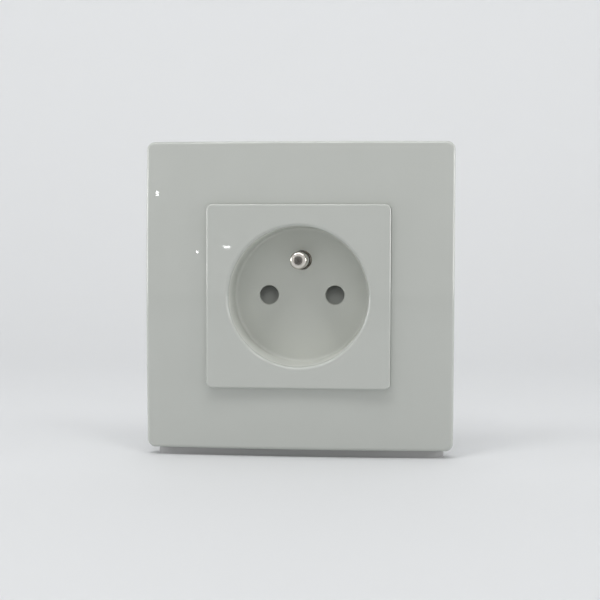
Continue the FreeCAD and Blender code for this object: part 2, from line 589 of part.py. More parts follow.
def mounting_plate():
    """The steel plate that the box screws hold, with the tabs for the frame's tongues."""
    plate = rounded_block(PLATE_HALF, PLATE_HALF, PLATE_CORNER_RADIUS, (PLATE_FRONT, 0))
    edge = (PLATE_HALF - PLATE_THICKNESS, PLATE_HALF)
    barb_level = PLATE_FRONT - TAB_HEIGHT / 2
    window = around(barb_level, BARB_HEIGHT / 2 + TAB_WINDOW_GAP)
    additions = []
    holes = [cylinder(WELL_OUTER_RADIUS + PLATE_WELL_GAP, 0, 0, (PLATE_FRONT - 1, 1))]
    for side_x in (-1, 1):
        lip = sorted(side_x * x for x in edge)
        additions.append(block(lip, (PLATE_FRONT - LIP_HEIGHT, 0), around(0, LIP_HALF_LENGTH)))
        holes.append(box_slot(side_x))
        for side_z in (-1, 1):
            x_middle = side_x * TAB_OFFSET
            tab = sorted(side_z * z for z in edge)
            additions.append(block(around(x_middle, TAB_HALF_WIDTH),
                                   (PLATE_FRONT - TAB_HEIGHT, 0), tab))
            holes.append(block(around(x_middle, TONGUE_WIDTH / 2 + TAB_WINDOW_GAP), window,
                               around(side_z * PLATE_HALF, 2 * PLATE_THICKNESS)))
    places = corner_places(SCREW_CORNERS + RIVET_CORNERS)
    holes += [cylinder(SCREW_RADIUS + SCREW_HOLE_GAP, x, z, (PLATE_FRONT - 1, 1)) for x, z in places]
    holes.append(cylinder(BOND_RIVET_RADIUS + SCREW_HOLE_GAP, 0, BOND_RIVET_Z, (PLATE_FRONT - 1, 1)))
    return cut_all(fuse_all(plate, additions), holes)


def box_slot(side_x):
    """The slot for one box screw, long across the plate so that the socket can be levelled."""
    middle = side_x * BOX_SCREW_SPACING / 2
    reach = (BOX_SLOT_LENGTH - BOX_SLOT_WIDTH) / 2
    through = (PLATE_FRONT - 1, 1)
    ends = [cylinder(BOX_SLOT_WIDTH / 2, middle + side * reach, 0, through) for side in (-1, 1)]
    return fuse_all(block(around(middle, reach), through, around(0, BOX_SLOT_WIDTH / 2)), ends)


def contact(side):
    """A pole's contact: two sprung leaves for the plug's pin, and the tongue to its terminal."""
    mouth = GUIDE_BACK + CONTACT_MOUTH_GAP
    pinch = mouth + CONTACT_MOUTH_LENGTH
    root = STRIP_FRONT - CONTACT_ROOT_LENGTH
    pinch_x = CONTACT_PINCH_HALF_GAP
    root_x = pinch_x + CONTACT_ROOT_FLARE
    leaf = [(pinch_x + CONTACT_MOUTH_FLARE, mouth), (pinch_x, pinch), (root_x, root)]
    inner = leaf + [(root_x, STRIP_FRONT)]
    outer = [(x + STRIP_THICKNESS, y) for x, y in leaf] + [(root_x + STRIP_THICKNESS, STRIP_BACK)]
    middle = side * PIN_X
    outline = [(middle + x, y) for x, y in inner] + [(middle - x, y) for x, y in reversed(inner)]
    outline += [(middle - x, y) for x, y in outer] + [(middle + x, y) for x, y in reversed(outer)]
    width = CONTACT_HALF_WIDTH
    clip = prism([(x, y, -width) for x, y in outline], (0, 0, 2 * width))
    tongue_end = -(TERMINAL_OFFSET_Z + CAGE_HEIGHT / 2)
    tongue = block(around(side * TERMINAL_OFFSET_X, TONGUE_STRIP_HALF_WIDTH),
                   (STRIP_FRONT, STRIP_BACK), (tongue_end, 0))
    return clip.fuse(tongue).removeSplitter()


def grip_spring(side):
    """The steel clip round the two leaves of a contact."""
    start = GUIDE_BACK + CONTACT_MOUTH_GAP + CONTACT_MOUTH_LENGTH
    y_span = (start, start + GRIP_LENGTH)
    inner = CONTACT_HALF_DEPTH + GRIP_GAP
    outer = inner + GRIP_THICKNESS
    middle = side * PIN_X
    top = CONTACT_HALF_WIDTH + STRIP_THICKNESS
    shell = block(around(middle, outer), y_span, (-CONTACT_HALF_WIDTH, top))
    gap = block(around(middle, inner), y_span, (-CONTACT_HALF_WIDTH - 1, top - GRIP_THICKNESS))
    return shell.cut(gap)


def earth_strap():
    """The strip from the earth pin, back along the base and up into the earth terminal."""
    across = around(0, EARTH_STRAP_HALF_WIDTH)
    low = EARTH_PIN_OFFSET - EARTH_STRAP_MARGIN
    leg = (EARTH_STRAP_TOP - STRIP_THICKNESS, EARTH_STRAP_TOP)
    foot = block(across, (GUIDE_BACK, GUIDE_BACK + STRIP_THICKNESS), (low, EARTH_STRAP_TOP))
    back = block(across, (GUIDE_BACK, STRIP_BACK), leg)
    tongue = block(around(0, TONGUE_STRIP_HALF_WIDTH), (STRIP_FRONT, STRIP_BACK),
                   (leg[0], EARTH_TERMINAL_Z + CAGE_HEIGHT / 2))
    hole = cylinder(EARTH_PIN_SHANK_RADIUS, 0, EARTH_PIN_OFFSET,
                    (GUIDE_BACK - 1, GUIDE_BACK + STRIP_THICKNESS + 1))
    return cut_all(fuse_all(foot, [back, tongue]), [hole])


def earth_bond_strap():
    """The strip that earths the steel plate: out of the base, round its edge and up the plate."""
    across = around(0, BOND_HALF_WIDTH)
    leg = (BOND_LEG_LOW, BOND_LEG_HIGH)
    inner = block(across, (BOND_FRONT, BOND_BACK), (EARTH_STRAP_TOP, BOND_LEG_HIGH))
    outside = block(across, (0, BOND_BACK), leg)
    foot = block(across, (0, STRIP_THICKNESS), (BOND_LEG_LOW, BOND_RIVET_Z + BOND_FOOT_MARGIN))
    hole = cylinder(BOND_RIVET_RADIUS + SCREW_HOLE_GAP, 0, BOND_RIVET_Z, (-1, STRIP_THICKNESS + 1))
    return cut_all(fuse_all(inner, [outside, foot]), [hole])


def rivet(radius, head_radius, head_length, x, z, y_span):
    """Return a rivet whose two heads clamp the span."""
    shank = cylinder(radius, x, z, y_span)
    front = cylinder(head_radius, x, z, (y_span[0] - head_length, y_span[0]))
    back = cylinder(head_radius, x, z, (y_span[1], y_span[1] + head_length))
    return fuse_all(shank, [front, back])


def bond_rivet():
    """The rivet that holds the bond strap to the plate."""
    return rivet(BOND_RIVET_RADIUS, BOND_RIVET_HEAD_RADIUS, BOND_RIVET_HEAD_LENGTH, 0, BOND_RIVET_Z,
                 (PLATE_FRONT, STRIP_THICKNESS))


def plate_rivets():
    """The two rivets that hold the base to the plate."""
    return Part.makeCompound([rivet(SCREW_RADIUS, RIVET_HEAD_RADIUS, RIVET_HEAD_LENGTH, x, z,
                                    (PLATE_FRONT, EAR_BACK))
                              for x, z in corner_places(RIVET_CORNERS)])


def cross_recess(radius, x, z, head_back):
    """Return the cross-shaped recess in the head of a screw that faces the back."""
    y_span = (head_back - CROSS_RECESS_DEPTH, head_back + 1)
    reach = 0.7 * radius
    width = CROSS_RECESS_WIDTH / 2
    flat = block(around(x, reach), y_span, around(z, width))
    return flat.fuse(block(around(x, width), y_span, around(z, reach)))


def cover_screws():
    """The two screws from behind that hold the cover, the plate and the base together."""
    screws = []
    tip = COVER_FACE + COVER_FRONT_THICKNESS + SCREW_TIP_GAP
    head_back = EAR_BACK + SCREW_HEAD_LENGTH
    for x, z in corner_places(SCREW_CORNERS):
        shank = cylinder(SCREW_RADIUS, x, z, (tip, EAR_BACK))
        head = cylinder(SCREW_HEAD_RADIUS, x, z, (EAR_BACK, head_back))
        recess = cross_recess(SCREW_HEAD_RADIUS, x, z, head_back)
        screws.append(fuse_all(shank, [head]).cut(recess))
    return Part.makeCompound(screws)


def terminal_cage(x, z):
    """The square tube that pulls the wire against the strip, tapped for its screw."""
    z_span = around(z, CAGE_HEIGHT / 2)
    outer = block(around(x, CAGE_HALF_WIDTH), (CAGE_FRONT, CAGE_BACK), z_span)
    inner = block(around(x, CAGE_HALF_WIDTH - CAGE_WALL),
                  (CAGE_FRONT + CAGE_WALL, CAGE_BACK - CAGE_WALL), around(z, CAGE_HEIGHT))
    hole = cylinder(TERMINAL_SCREW_RADIUS + GRIP_GAP, x, z, (CAGE_BACK - CAGE_WALL - 0.1, CAGE_BACK + 1))
    return cut_all(outer, [inner, hole])


def terminal_screw(x, z):
    """The screw of a terminal, with its tip on the strip and its head at the back."""
    head_front = CAGE_BACK + TERMINAL_HEAD_GAP
    head_back = head_front + TERMINAL_HEAD_LENGTH
    shank = cylinder(TERMINAL_SCREW_RADIUS, x, z, (STRIP_BACK, head_front))
    head = cylinder(TERMINAL_HEAD_RADIUS, x, z, (head_front, head_back))
    return fuse_all(shank, [head]).cut(cross_recess(TERMINAL_HEAD_RADIUS, x, z, head_back))


def sub_parts():
    """Return every separate piece of the socket by its name."""
    parts = {
        "cover_frame": cover_frame(),
        "socket_cover": socket_cover(),
        "earth_pin": earth_pin(),
        "shutter_slide": shutter_slide(),
        "shutter_spring": shutter_spring(),
        "shutter_guide": shutter_guide(),
        "base_housing": base_housing(),
        "mounting_plate": mounting_plate(),
        "earth_strap": earth_strap(),
        "earth_bond_strap": earth_bond_strap(),
        "bond_rivet": bond_rivet(),
        "plate_rivets": plate_rivets(),
        "cover_screws": cover_screws(),
    }
    for pole, side in (("live", 1), ("neutral", -1)):
        parts[f"{pole}_contact"] = contact(side)
        parts[f"{pole}_grip_spring"] = grip_spring(side)
    for name, (x, z) in TERMINAL_PLACES.items():
        parts[f"{name}_terminal_cage"] = terminal_cage(x, z)
        parts[f"{name}_terminal_screw"] = terminal_screw(x, z)
    return parts


os.makedirs("parts", exist_ok=True)
for node, solid in sub_parts().items():
    solid.exportStep(f"parts/{node}.step")
    box = solid.BoundBox
    print(f"{node}: valid {solid.isValid()}, solids {len(solid.Solids)}, volume {solid.Volume:.1f}, "
          f"x {box.XMin:.2f} {box.XMax:.2f}, y {box.YMin:.2f} {box.YMax:.2f}, "
          f"z {box.ZMin:.2f} {box.ZMax:.2f}")
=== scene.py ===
"""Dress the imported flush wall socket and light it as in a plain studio.

The frame gives every solid at its real place. The pieces that show most get a finished mesh of
their own, shaped step by step with mesh operators and modifiers, and every solid that stays gets
a finish made of shader nodes. Lengths are in metres: the wall plane is y = 0, the room is at -Y
and +Z is up.
"""
from __future__ import annotations

import json
import logging
import math
from contextlib import contextmanager
from dataclasses import dataclass
from enum import Enum
from itertools import product
from typing import Callable, Iterator, Sequence

import bpy
from bpy.types import Material, Modifier, Node, NodeSocket, NodeTree, Object
from mathutils import Matrix, Vector

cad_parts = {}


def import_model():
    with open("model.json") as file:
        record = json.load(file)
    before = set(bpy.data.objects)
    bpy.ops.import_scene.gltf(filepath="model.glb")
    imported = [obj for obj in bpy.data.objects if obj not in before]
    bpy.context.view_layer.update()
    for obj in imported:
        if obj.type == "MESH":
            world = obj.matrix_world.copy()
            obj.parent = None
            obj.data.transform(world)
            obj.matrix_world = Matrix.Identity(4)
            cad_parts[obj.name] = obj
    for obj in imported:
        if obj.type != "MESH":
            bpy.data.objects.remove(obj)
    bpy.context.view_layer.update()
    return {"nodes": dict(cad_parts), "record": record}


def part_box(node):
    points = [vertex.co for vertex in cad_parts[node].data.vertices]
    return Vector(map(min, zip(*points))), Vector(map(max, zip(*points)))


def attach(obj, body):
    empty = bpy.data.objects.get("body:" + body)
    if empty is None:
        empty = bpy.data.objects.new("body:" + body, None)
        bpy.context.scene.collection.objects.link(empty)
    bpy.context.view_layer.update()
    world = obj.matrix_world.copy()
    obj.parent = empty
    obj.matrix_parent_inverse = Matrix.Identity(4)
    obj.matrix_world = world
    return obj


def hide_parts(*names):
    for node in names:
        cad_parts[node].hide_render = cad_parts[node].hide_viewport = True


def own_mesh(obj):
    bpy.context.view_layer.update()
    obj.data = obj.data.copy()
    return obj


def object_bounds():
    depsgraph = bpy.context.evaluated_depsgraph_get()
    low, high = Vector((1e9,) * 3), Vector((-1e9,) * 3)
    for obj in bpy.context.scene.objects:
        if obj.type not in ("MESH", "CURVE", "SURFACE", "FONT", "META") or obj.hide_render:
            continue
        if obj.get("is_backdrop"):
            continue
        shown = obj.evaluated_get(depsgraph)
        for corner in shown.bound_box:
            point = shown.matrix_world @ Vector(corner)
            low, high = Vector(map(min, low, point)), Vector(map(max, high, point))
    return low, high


log = logging.getLogger("wall_socket")

MM = 0.001
SOCKET_BODY = "socket"
SMOOTH_ANGLE = math.radians(35)
WELD_DISTANCE = 0.002 * MM
# A cutting tool reaches this far past what it cuts, and an edge this near to a level lies at it.
MARGIN = 1.0 * MM
ROUND_STEPS = 128
SMALL_ROUND_STEPS = 64
FASTENER_STEPS = 32
SCREW_HEAD_RADIUS = 2.7 * MM

Pair = tuple[float, float]
Point = tuple[float, float, float]
Profile = list[Pair]


class Element(Enum):
    """The kind of mesh element that an edit works on."""

    POINT = "VERT"
    EDGE = "EDGE"
    FACE = "FACE"


class Joining(Enum):
    """How a tool body changes the piece that it meets."""

    ADD = "UNION"
    TAKE = "DIFFERENCE"


def pick(piece: Object) -> None:
    """Make the piece the only selected object, and the active one.

    Args:
        piece: The object that the next operator works on.
    """
    bpy.ops.object.select_all(action="DESELECT")
    piece.select_set(True)
    bpy.context.view_layer.objects.active = piece


@contextmanager
def editing(piece: Object, kind: Element = Element.FACE,
            chosen: Callable[..., bool] | None = None) -> Iterator[None]:
    """Open the piece in edit mode with the chosen elements selected, and close it afterwards.

    Args:
        piece: The mesh object to edit.
        kind: The selection mode.
        chosen: The test that an edge passes with its two ends, or a face with its centre and
            normal, to be selected, or None to select all.

    Yields:
        Nothing: the operators run inside the with block.
    """
    pick(piece)
    bpy.ops.object.mode_set(mode="EDIT")
    bpy.ops.mesh.select_mode(type=kind.value)
    bpy.ops.mesh.select_all(action="SELECT" if chosen is None else "DESELECT")
    if chosen is not None:
        bpy.ops.object.mode_set(mode="OBJECT")
        mesh = piece.data
        for edge in mesh.edges if kind is Element.EDGE else ():
            edge.select = chosen(*(mesh.vertices[index].co for index in edge.vertices))
        for face in mesh.polygons if kind is Element.FACE else ():
            face.select = chosen(face.center, face.normal)
        bpy.ops.object.mode_set(mode="EDIT")
    yield
    bpy.ops.object.mode_set(mode="OBJECT")


@contextmanager
def applied(piece: Object, kind: str) -> Iterator[Modifier]:
    """Add a modifier to the piece, and apply it once the with block has set it.

    Args:
        piece: The mesh object.
        kind: The modifier's type.

    Yields:
        The modifier.
    """
    pick(piece)
    bpy.ops.object.modifier_add(type=kind)
    modifier = piece.modifiers[-1]
    yield modifier
    bpy.ops.object.modifier_apply(modifier=modifier.name)


def add_piece(name: str, primitive: Callable[..., set[str]], **how: object) -> Object:
    """Add a primitive as a new piece, with nothing else selected and its place in its mesh.

    Args:
        name: The piece's name.
        primitive: The operator that adds it.
        how: The operator's settings.

    Returns:
        The object, at the origin, unturned and unscaled.
    """
    bpy.ops.object.select_all(action="DESELECT")
    primitive(**how)
    piece = bpy.context.view_layer.objects.active
    piece.name = name
    piece.data.name = name
    bpy.ops.object.transform_apply(location=True, rotation=True, scale=True)
    return piece


def add_box(name: str, low: Sequence[float], high: Sequence[float]) -> Object:
    """Add a block between two corners.

    Args:
        name: The piece's name.
        low: Its lowest corner.
        high: Its highest corner.

    Returns:
        The new object.
    """
    middle = [(a + b) / 2 for a, b in zip(low, high)]
    size = [b - a for a, b in zip(low, high)]
    return add_piece(name, bpy.ops.mesh.primitive_cube_add, size=1, location=middle, scale=size)


def add_bar(name: str, place: Point, radius: float, length: float, steps: int) -> Object:
    """Add a round bar along +Y.

    Args:
        name: The piece's name.
        place: The middle of its front end.
        radius: Its radius.
        length: How far it reaches along +Y.
        steps: How many flats stand for the round.

    Returns:
        The new object.
    """
    middle = (place[0], place[1] + length / 2, place[2])
    return add_piece(name, bpy.ops.mesh.primitive_cylinder_add, vertices=steps, radius=radius,
                     depth=length, location=middle, rotation=(math.pi / 2, 0, 0))


def rounding(centre: Pair, radius: float, start: float, end: float, steps: int) -> Profile:
    """Give the points of an arc in a profile, from one angle to another.

    Args:
        centre: The arc's centre, as place along the axis and distance from it.
        radius: The arc's radius.
        start: The first angle in degrees, from the axis direction towards the outside.
        end: The last angle in degrees.
        steps: How many straight pieces the arc has.

    Returns:
        The points, both ends included.
    """
    angles = [math.radians(start + (end - start) * step / steps) for step in range(steps + 1)]
    return [(centre[0] + radius * math.cos(a), centre[1] + radius * math.sin(a)) for a in angles]


def turn(name: str, profile: Profile, place: Pair, steps: int) -> Object:
    """Turn a half-section about a line along Y, as on a lathe.

    Args:
        name: The piece's name.
        profile: Points as place along Y and distance from the line, from end to end.
        place: The line's x and z.
        steps: How many steps make the full turn.

    Returns:
        The closed turned object.
    """
    x, z = place
    along, out = profile[0]
    piece = add_piece(name, bpy.ops.mesh.primitive_plane_add, size=MM,
                      location=(x + out, along, z))
    with editing(piece, Element.POINT):
        bpy.ops.mesh.merge(type="CENTER")
        for before, after in zip(profile, profile[1:]):
            step = (after[1] - before[1], after[0] - before[0], 0)
            bpy.ops.mesh.extrude_region_move(TRANSFORM_OT_translate={"value": step})
        bpy.ops.mesh.select_all(action="SELECT")
        bpy.ops.mesh.spin(steps=steps, angle=2 * math.pi, center=(x, 0, z), axis=(0, 1, 0))
        bpy.ops.mesh.select_all(action="SELECT")
        bpy.ops.mesh.remove_doubles(threshold=WELD_DISTANCE)
        bpy.ops.mesh.normals_make_consistent(inside=False)
    return piece


def round_edges(piece: Object, width: float, steps: int,
                chosen: Callable[[Vector, Vector], bool]) -> None:
    """Round the edges that pass the test.

    Args:
        piece: The mesh object.
        width: The radius of the rounding.
        steps: How many flats it has.
        chosen: Takes an edge's two ends.
    """
    with editing(piece, Element.EDGE, chosen):
        bpy.ops.mesh.bevel(offset=width, segments=steps, profile=0.5, affect="EDGES",
                           clamp_overlap=False)


def combine(piece: Object, tool: Object, how: Joining) -> None:
    """Join the tool body to the piece, or take it out of it, and remove the tool.

    Args:
        piece: The object that stays.
        tool: The object that is used up.
        how: Whether the tool is added or taken away.
    """
    with applied(piece, "BOOLEAN") as joint:
        joint.operation = how.value
        joint.solver = "EXACT"
        joint.object = tool
    bpy.data.objects.remove(tool)


def shade(piece: Object, angle: float = SMOOTH_ANGLE) -> None:
    """Smooth the shading where faces meet at a shallow angle, with flat faces kept flat.

    Args:
        piece: The mesh object.
        angle: Edges sharper than this stay sharp.
    """
    pick(piece)
    bpy.ops.object.shade_smooth_by_angle(angle=angle)
    with applied(piece, "WEIGHTED_NORMAL") as weights:
        weights.keep_sharp = True


def upright(start: Vector, end: Vector) -> bool:
    """Tell whether an edge runs along Y."""
    return abs(start.x - end.x) + abs(start.z - end.z) < WELD_DISTANCE


def level_with(value: float, start: Vector, end: Vector) -> bool:
    """Tell whether both ends of an edge lie at this y."""
    return abs(start.y - value) < WELD_DISTANCE and abs(end.y - value) < WELD_DISTANCE


def faces_room(_centre: Vector, normal: Vector) -> bool:
    """Tell whether a face points towards the room."""
    return normal.y < -0.5


def on_outline(half: float, corner: float, *points: Vector) -> bool:
    """Tell whether all the points lie on the rounded square that is centred on the Y axis.

    Args:
        half: Half the square's side.
        corner: The radius of its corners.
        points: The points, whatever their y.

    Returns:
        Whether they do.
    """
    for point in points:
        beyond = [max(abs(value) - (half - corner), 0) for value in (point.x, point.z)]
        if abs(math.hypot(*beyond) - corner) >= 2 * WELD_DISTANCE:
            return False
    return True


def axis_of(node: str) -> Pair:
    """Give the x and z of the middle of a solid's box."""
    low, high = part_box(node)
    return (low.x + high.x) / 2, (low.z + high.z) / 2


def cover_screw_places() -> list[Pair]:
    """Give the x and z of the two cover screws, and of the bosses that they hold."""
    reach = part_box("cover_screws")[1].x - SCREW_HEAD_RADIUS
    return [(-reach, reach), (reach, -reach)]


def add_node(tree: NodeTree, kind: str, inputs: dict[int | str, object],
             **settings: object) -> Node:
    """Add a shader node.

    Args:
        tree: The nodes of a material or of the world.
        kind: The node's type.
        inputs: Its inputs by name or number, each as a value or as the socket that feeds it.
        settings: The node's own settings, which come before its inputs.

    Returns:
        The node.
    """
    node = tree.nodes.new(kind)
    for setting, value in settings.items():
        setattr(node, setting, value)
    for name, value in inputs.items():
        if isinstance(value, NodeSocket):
            tree.links.new(value, node.inputs[name])
        else:
            node.inputs[name].default_value = value
    return node


IOR = 1.5
EDGE_RAYS = 6
# How many finer layers the noises of the tone, the grain and the roughness have.
TONE_LAYERS = 3.0
GRAIN_LAYERS = 2.0
PATCH_LAYERS = 4.0
# The roughness varies in patches that are so many times finer than those of the tone.
PATCH_FINENESS = 3.0


class Coat(Enum):
    """The kinds of surface, by what lies behind their shine."""

    PLASTIC = "plastic"
    METAL = "metal"


@dataclass(frozen=True)
class Finish:
    """A finish made of shader nodes on the piece's own coordinates.

    Attributes:
        name: The material's name.
        coat: Plastic or metal.
        colour: The linear base colour.
        tone: How far the base colour drifts over the piece, as a share.
        tone_scale: Patches of that drift per metre.
        roughness: The middle roughness.
        roughness_swing: How far the roughness varies to each side.
        grain_scale: Grains of the bump per metre.
        grain_height: The height of the grain in metres.
        stretch: How the grain is drawn out along each axis.
        tint: The linear colour that the tone drifts towards.
        edge: How wide the shader rounds sharp edges off, in metres.
    """

    name: str
    coat: Coat
    colour: Point
    tone: float
    tone_scale: float
    roughness: float
    roughness_swing: float
    grain_scale: float
    grain_height: float
    stretch: Point = (1.0, 1.0, 1.0)
    tint: Point = (0.0, 0.0, 0.0)
    edge: float = 0.0

    def make(self) -> Material:
        """Build the material, or give the one that is there already.

        Returns:
            The material.
        """
        known = bpy.data.materials.get(self.name)
        if known is not None:
            return known
        material = bpy.data.materials.new(self.name)
        material.use_nodes = True
        tree = material.node_tree
        shader = tree.nodes["Principled BSDF"]
        shader.inputs["Metallic"].default_value = 1.0 if self.coat is Coat.METAL else 0.0
        shader.inputs["IOR"].default_value = IOR
        place = add_node(tree, "ShaderNodeTexCoord", {}).outputs["Object"]
        drawn = add_node(tree, "ShaderNodeMapping", {"Vector": place, "Scale": self.stretch})
        for socket, build in (("Base Color", self._colour), ("Roughness", self._roughness),
                              ("Normal", self._grain)):
            tree.links.new(build(tree, drawn.outputs["Vector"]), shader.inputs[socket])
        return material

    def _noise(self, tree: NodeTree, drawn: NodeSocket, scale: float,
               detail: float) -> NodeSocket:
        """Add a noise with this scale, in features per metre, and this many finer layers."""
        return add_node(tree, "ShaderNodeTexNoise", {
            "Vector": drawn, "Scale": scale, "Detail": detail}).outputs["Fac"]

    def _colour(self, tree: NodeTree, drawn: NodeSocket) -> NodeSocket:
        """Let the base colour drift a little over the piece."""
        far = [base + (aim - base) * self.tone for base, aim in zip(self.colour, self.tint)]
        return add_node(tree, "ShaderNodeMix", {
            "Factor": self._noise(tree, drawn, self.tone_scale, TONE_LAYERS),
            "A": (*self.colour, 1.0),
            "B": (*far, 1.0),
        }, data_type="RGBA").outputs["Result"]

    def _roughness(self, tree: NodeTree, drawn: NodeSocket) -> NodeSocket:
        """Vary the roughness in soft patches, which are finer than those of the tone."""
        noise = self._noise(tree, drawn, self.tone_scale * PATCH_FINENESS, PATCH_LAYERS)
        return add_node(tree, "ShaderNodeMapRange", {
            "Value": noise,
            "To Min": self.roughness - self.roughness_swing,
            "To Max": self.roughness + self.roughness_swing,
        }).outputs["Result"]

    def _grain(self, tree: NodeTree, drawn: NodeSocket) -> NodeSocket:
        """Raise a fine grain on the surface, and round sharp edges off where the finish says so.

        Args:
            tree: The material's nodes.
            drawn: The piece's coordinates, drawn out as the finish says.

        Returns:
            The socket that gives the normal.
        """
        noise = self._noise(tree, drawn, self.grain_scale, GRAIN_LAYERS)
        inputs = {"Height": noise, "Distance": self.grain_height}
        if self.edge:
            soft = add_node(tree, "ShaderNodeBevel", {"Radius": self.edge}, samples=EDGE_RAYS)
            inputs["Normal"] = soft.outputs["Normal"]
        return add_node(tree, "ShaderNodeBump", inputs).outputs["Normal"]


# After its name, coat and colour a finish gives its tone, tone_scale, roughness, roughness_swing,
# grain_scale and grain_height, and then its stretch, tint and edge where it has them.
FRONT_PLASTIC = Finish("glossy_front_plastic", Coat.PLASTIC, (0.484, 0.500, 0.472), 0.05, 60,
                       0.020, 0.004, 900, 0.0001 * MM)
# The well's plastic is the front's plastic with a lighter colour: painted light that brightens the
# shaded well. Its higher roughness gives the satin finish.
LIGHTENED_WELL_PLASTIC = Finish("satin_well_plastic_painted_light", Coat.PLASTIC, (0.625, 0.640, 0.600), 0.05, 60,
                      0.55, 0.05, 1500, 0.002 * MM)
SHUTTER_PLASTIC = Finish("satin_shutter_plastic", Coat.PLASTIC, (0.44, 0.455, 0.43), 0.06, 150,
                         0.38, 0.05, 1800, 0.003 * MM, edge=0.15 * MM)
GUIDE_PLASTIC = Finish("plain_guide_plastic", Coat.PLASTIC, (0.52, 0.52, 0.48), 0.06, 120,
                       0.45, 0.06, 2200, 0.004 * MM, edge=0.15 * MM)
BASE_PLASTIC = Finish("eroded_base_plastic", Coat.PLASTIC, (0.50, 0.505, 0.47), 0.08, 90,
                      0.52, 0.06, 3500, 0.012 * MM, edge=0.35 * MM)
ZINC_STEEL = Finish("zinc_plated_steel", Coat.METAL, (0.60, 0.61, 0.62), 0.18, 220,
                    0.36, 0.08, 2600, 0.003 * MM, (1.0, 1.0, 0.15), (0.50, 0.50, 0.42), 0.12 * MM)
SCREW_STEEL = Finish("turned_screw_steel", Coat.METAL, (0.58, 0.58, 0.60), 0.2, 500,
                     0.30, 0.06, 5000, 0.002 * MM, (1.0, 0.2, 1.0), (0.46, 0.45, 0.40))
SPRING_STEEL = Finish("drawn_spring_steel", Coat.METAL, (0.42, 0.42, 0.43), 0.2, 900,
                      0.28, 0.05, 6000, 0.001 * MM, tint=(0.34, 0.33, 0.32))
BRONZE = Finish("sprung_bronze", Coat.METAL, (0.62, 0.38, 0.20), 0.25, 260,
                0.30, 0.06, 3200, 0.002 * MM, (1.0, 1.0, 0.2), (0.46, 0.24, 0.12), 0.08 * MM)
BRASS = Finish("rolled_brass", Coat.METAL, (0.72, 0.53, 0.24), 0.15, 160,
               0.28, 0.05, 3200, 0.001 * MM, (1.0, 0.2, 1.0), (0.58, 0.41, 0.17), 0.10 * MM)
NICKEL = Finish("bright_nickel", Coat.METAL, (0.70, 0.67, 0.62), 0.12, 700,
                0.08, 0.03, 5200, 0.0008 * MM, (1.0, 0.15, 1.0), (0.52, 0.48, 0.42))

SWEEP_PAPER = Finish("pale_sweep", Coat.PLASTIC, (0.665, 0.676, 0.686), 0.02, 3, 0.7, 0.05,
                     600, 0.01 * MM, tint=(0.6, 0.6, 0.6))
# A plain grey for the strip under the plate: painted shadow that stands in for the dark band below
# the plate's bottom edge.
SHADOW_STRIP_GREY = Finish("painted_shadow_grey", Coat.PLASTIC, (0.36, 0.36, 0.36), 0.1, 60, 0.8, 0.05,
                     900, 0.02 * MM, tint=(0.32, 0.32, 0.32))
DARK_FELT = Finish("dark_felt", Coat.PLASTIC, (0.03, 0.028, 0.026), 0.3, 12, 0.9, 0.05,
                   500, 0.1 * MM, tint=(0.05, 0.045, 0.04))

SLOT_FINISHES = {
    "pale_plastic": FRONT_PLASTIC,
    "shutter_plastic": SHUTTER_PLASTIC,
    "inner_plastic": GUIDE_PLASTIC,
    "base_plastic": BASE_PLASTIC,
    "zinc_steel": ZINC_STEEL,
    "screw_steel": SCREW_STEEL,
    "spring_steel": SPRING_STEEL,
    "bronze": BRONZE,
    "brass_strip": BRASS,
    "nickel": NICKEL,
}


def dress(piece: Object, finish: Finish) -> None:
    """Give the piece one finish all over.

    Args:
        piece: The mesh object.
        finish: Its finish.
    """
    piece.data.materials.clear()
    piece.data.materials.append(finish.make())


def deliver(piece: Object, nodes: Sequence[str], slot: str) -> None:
    """Dress a finished piece, fix it to the socket's body and let it stand for its solids.

    Args:
        piece: The finished mesh object.
        nodes: The solids that it stands for.
        slot: The record's material slot.
    """
    dress(piece, SLOT_FINISHES[slot])
    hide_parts(*nodes)
    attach(piece, SOCKET_BODY)
    log.info("%s: %d faces, stands for %s", piece.name, len(piece.data.polygons), ", ".join(nodes))


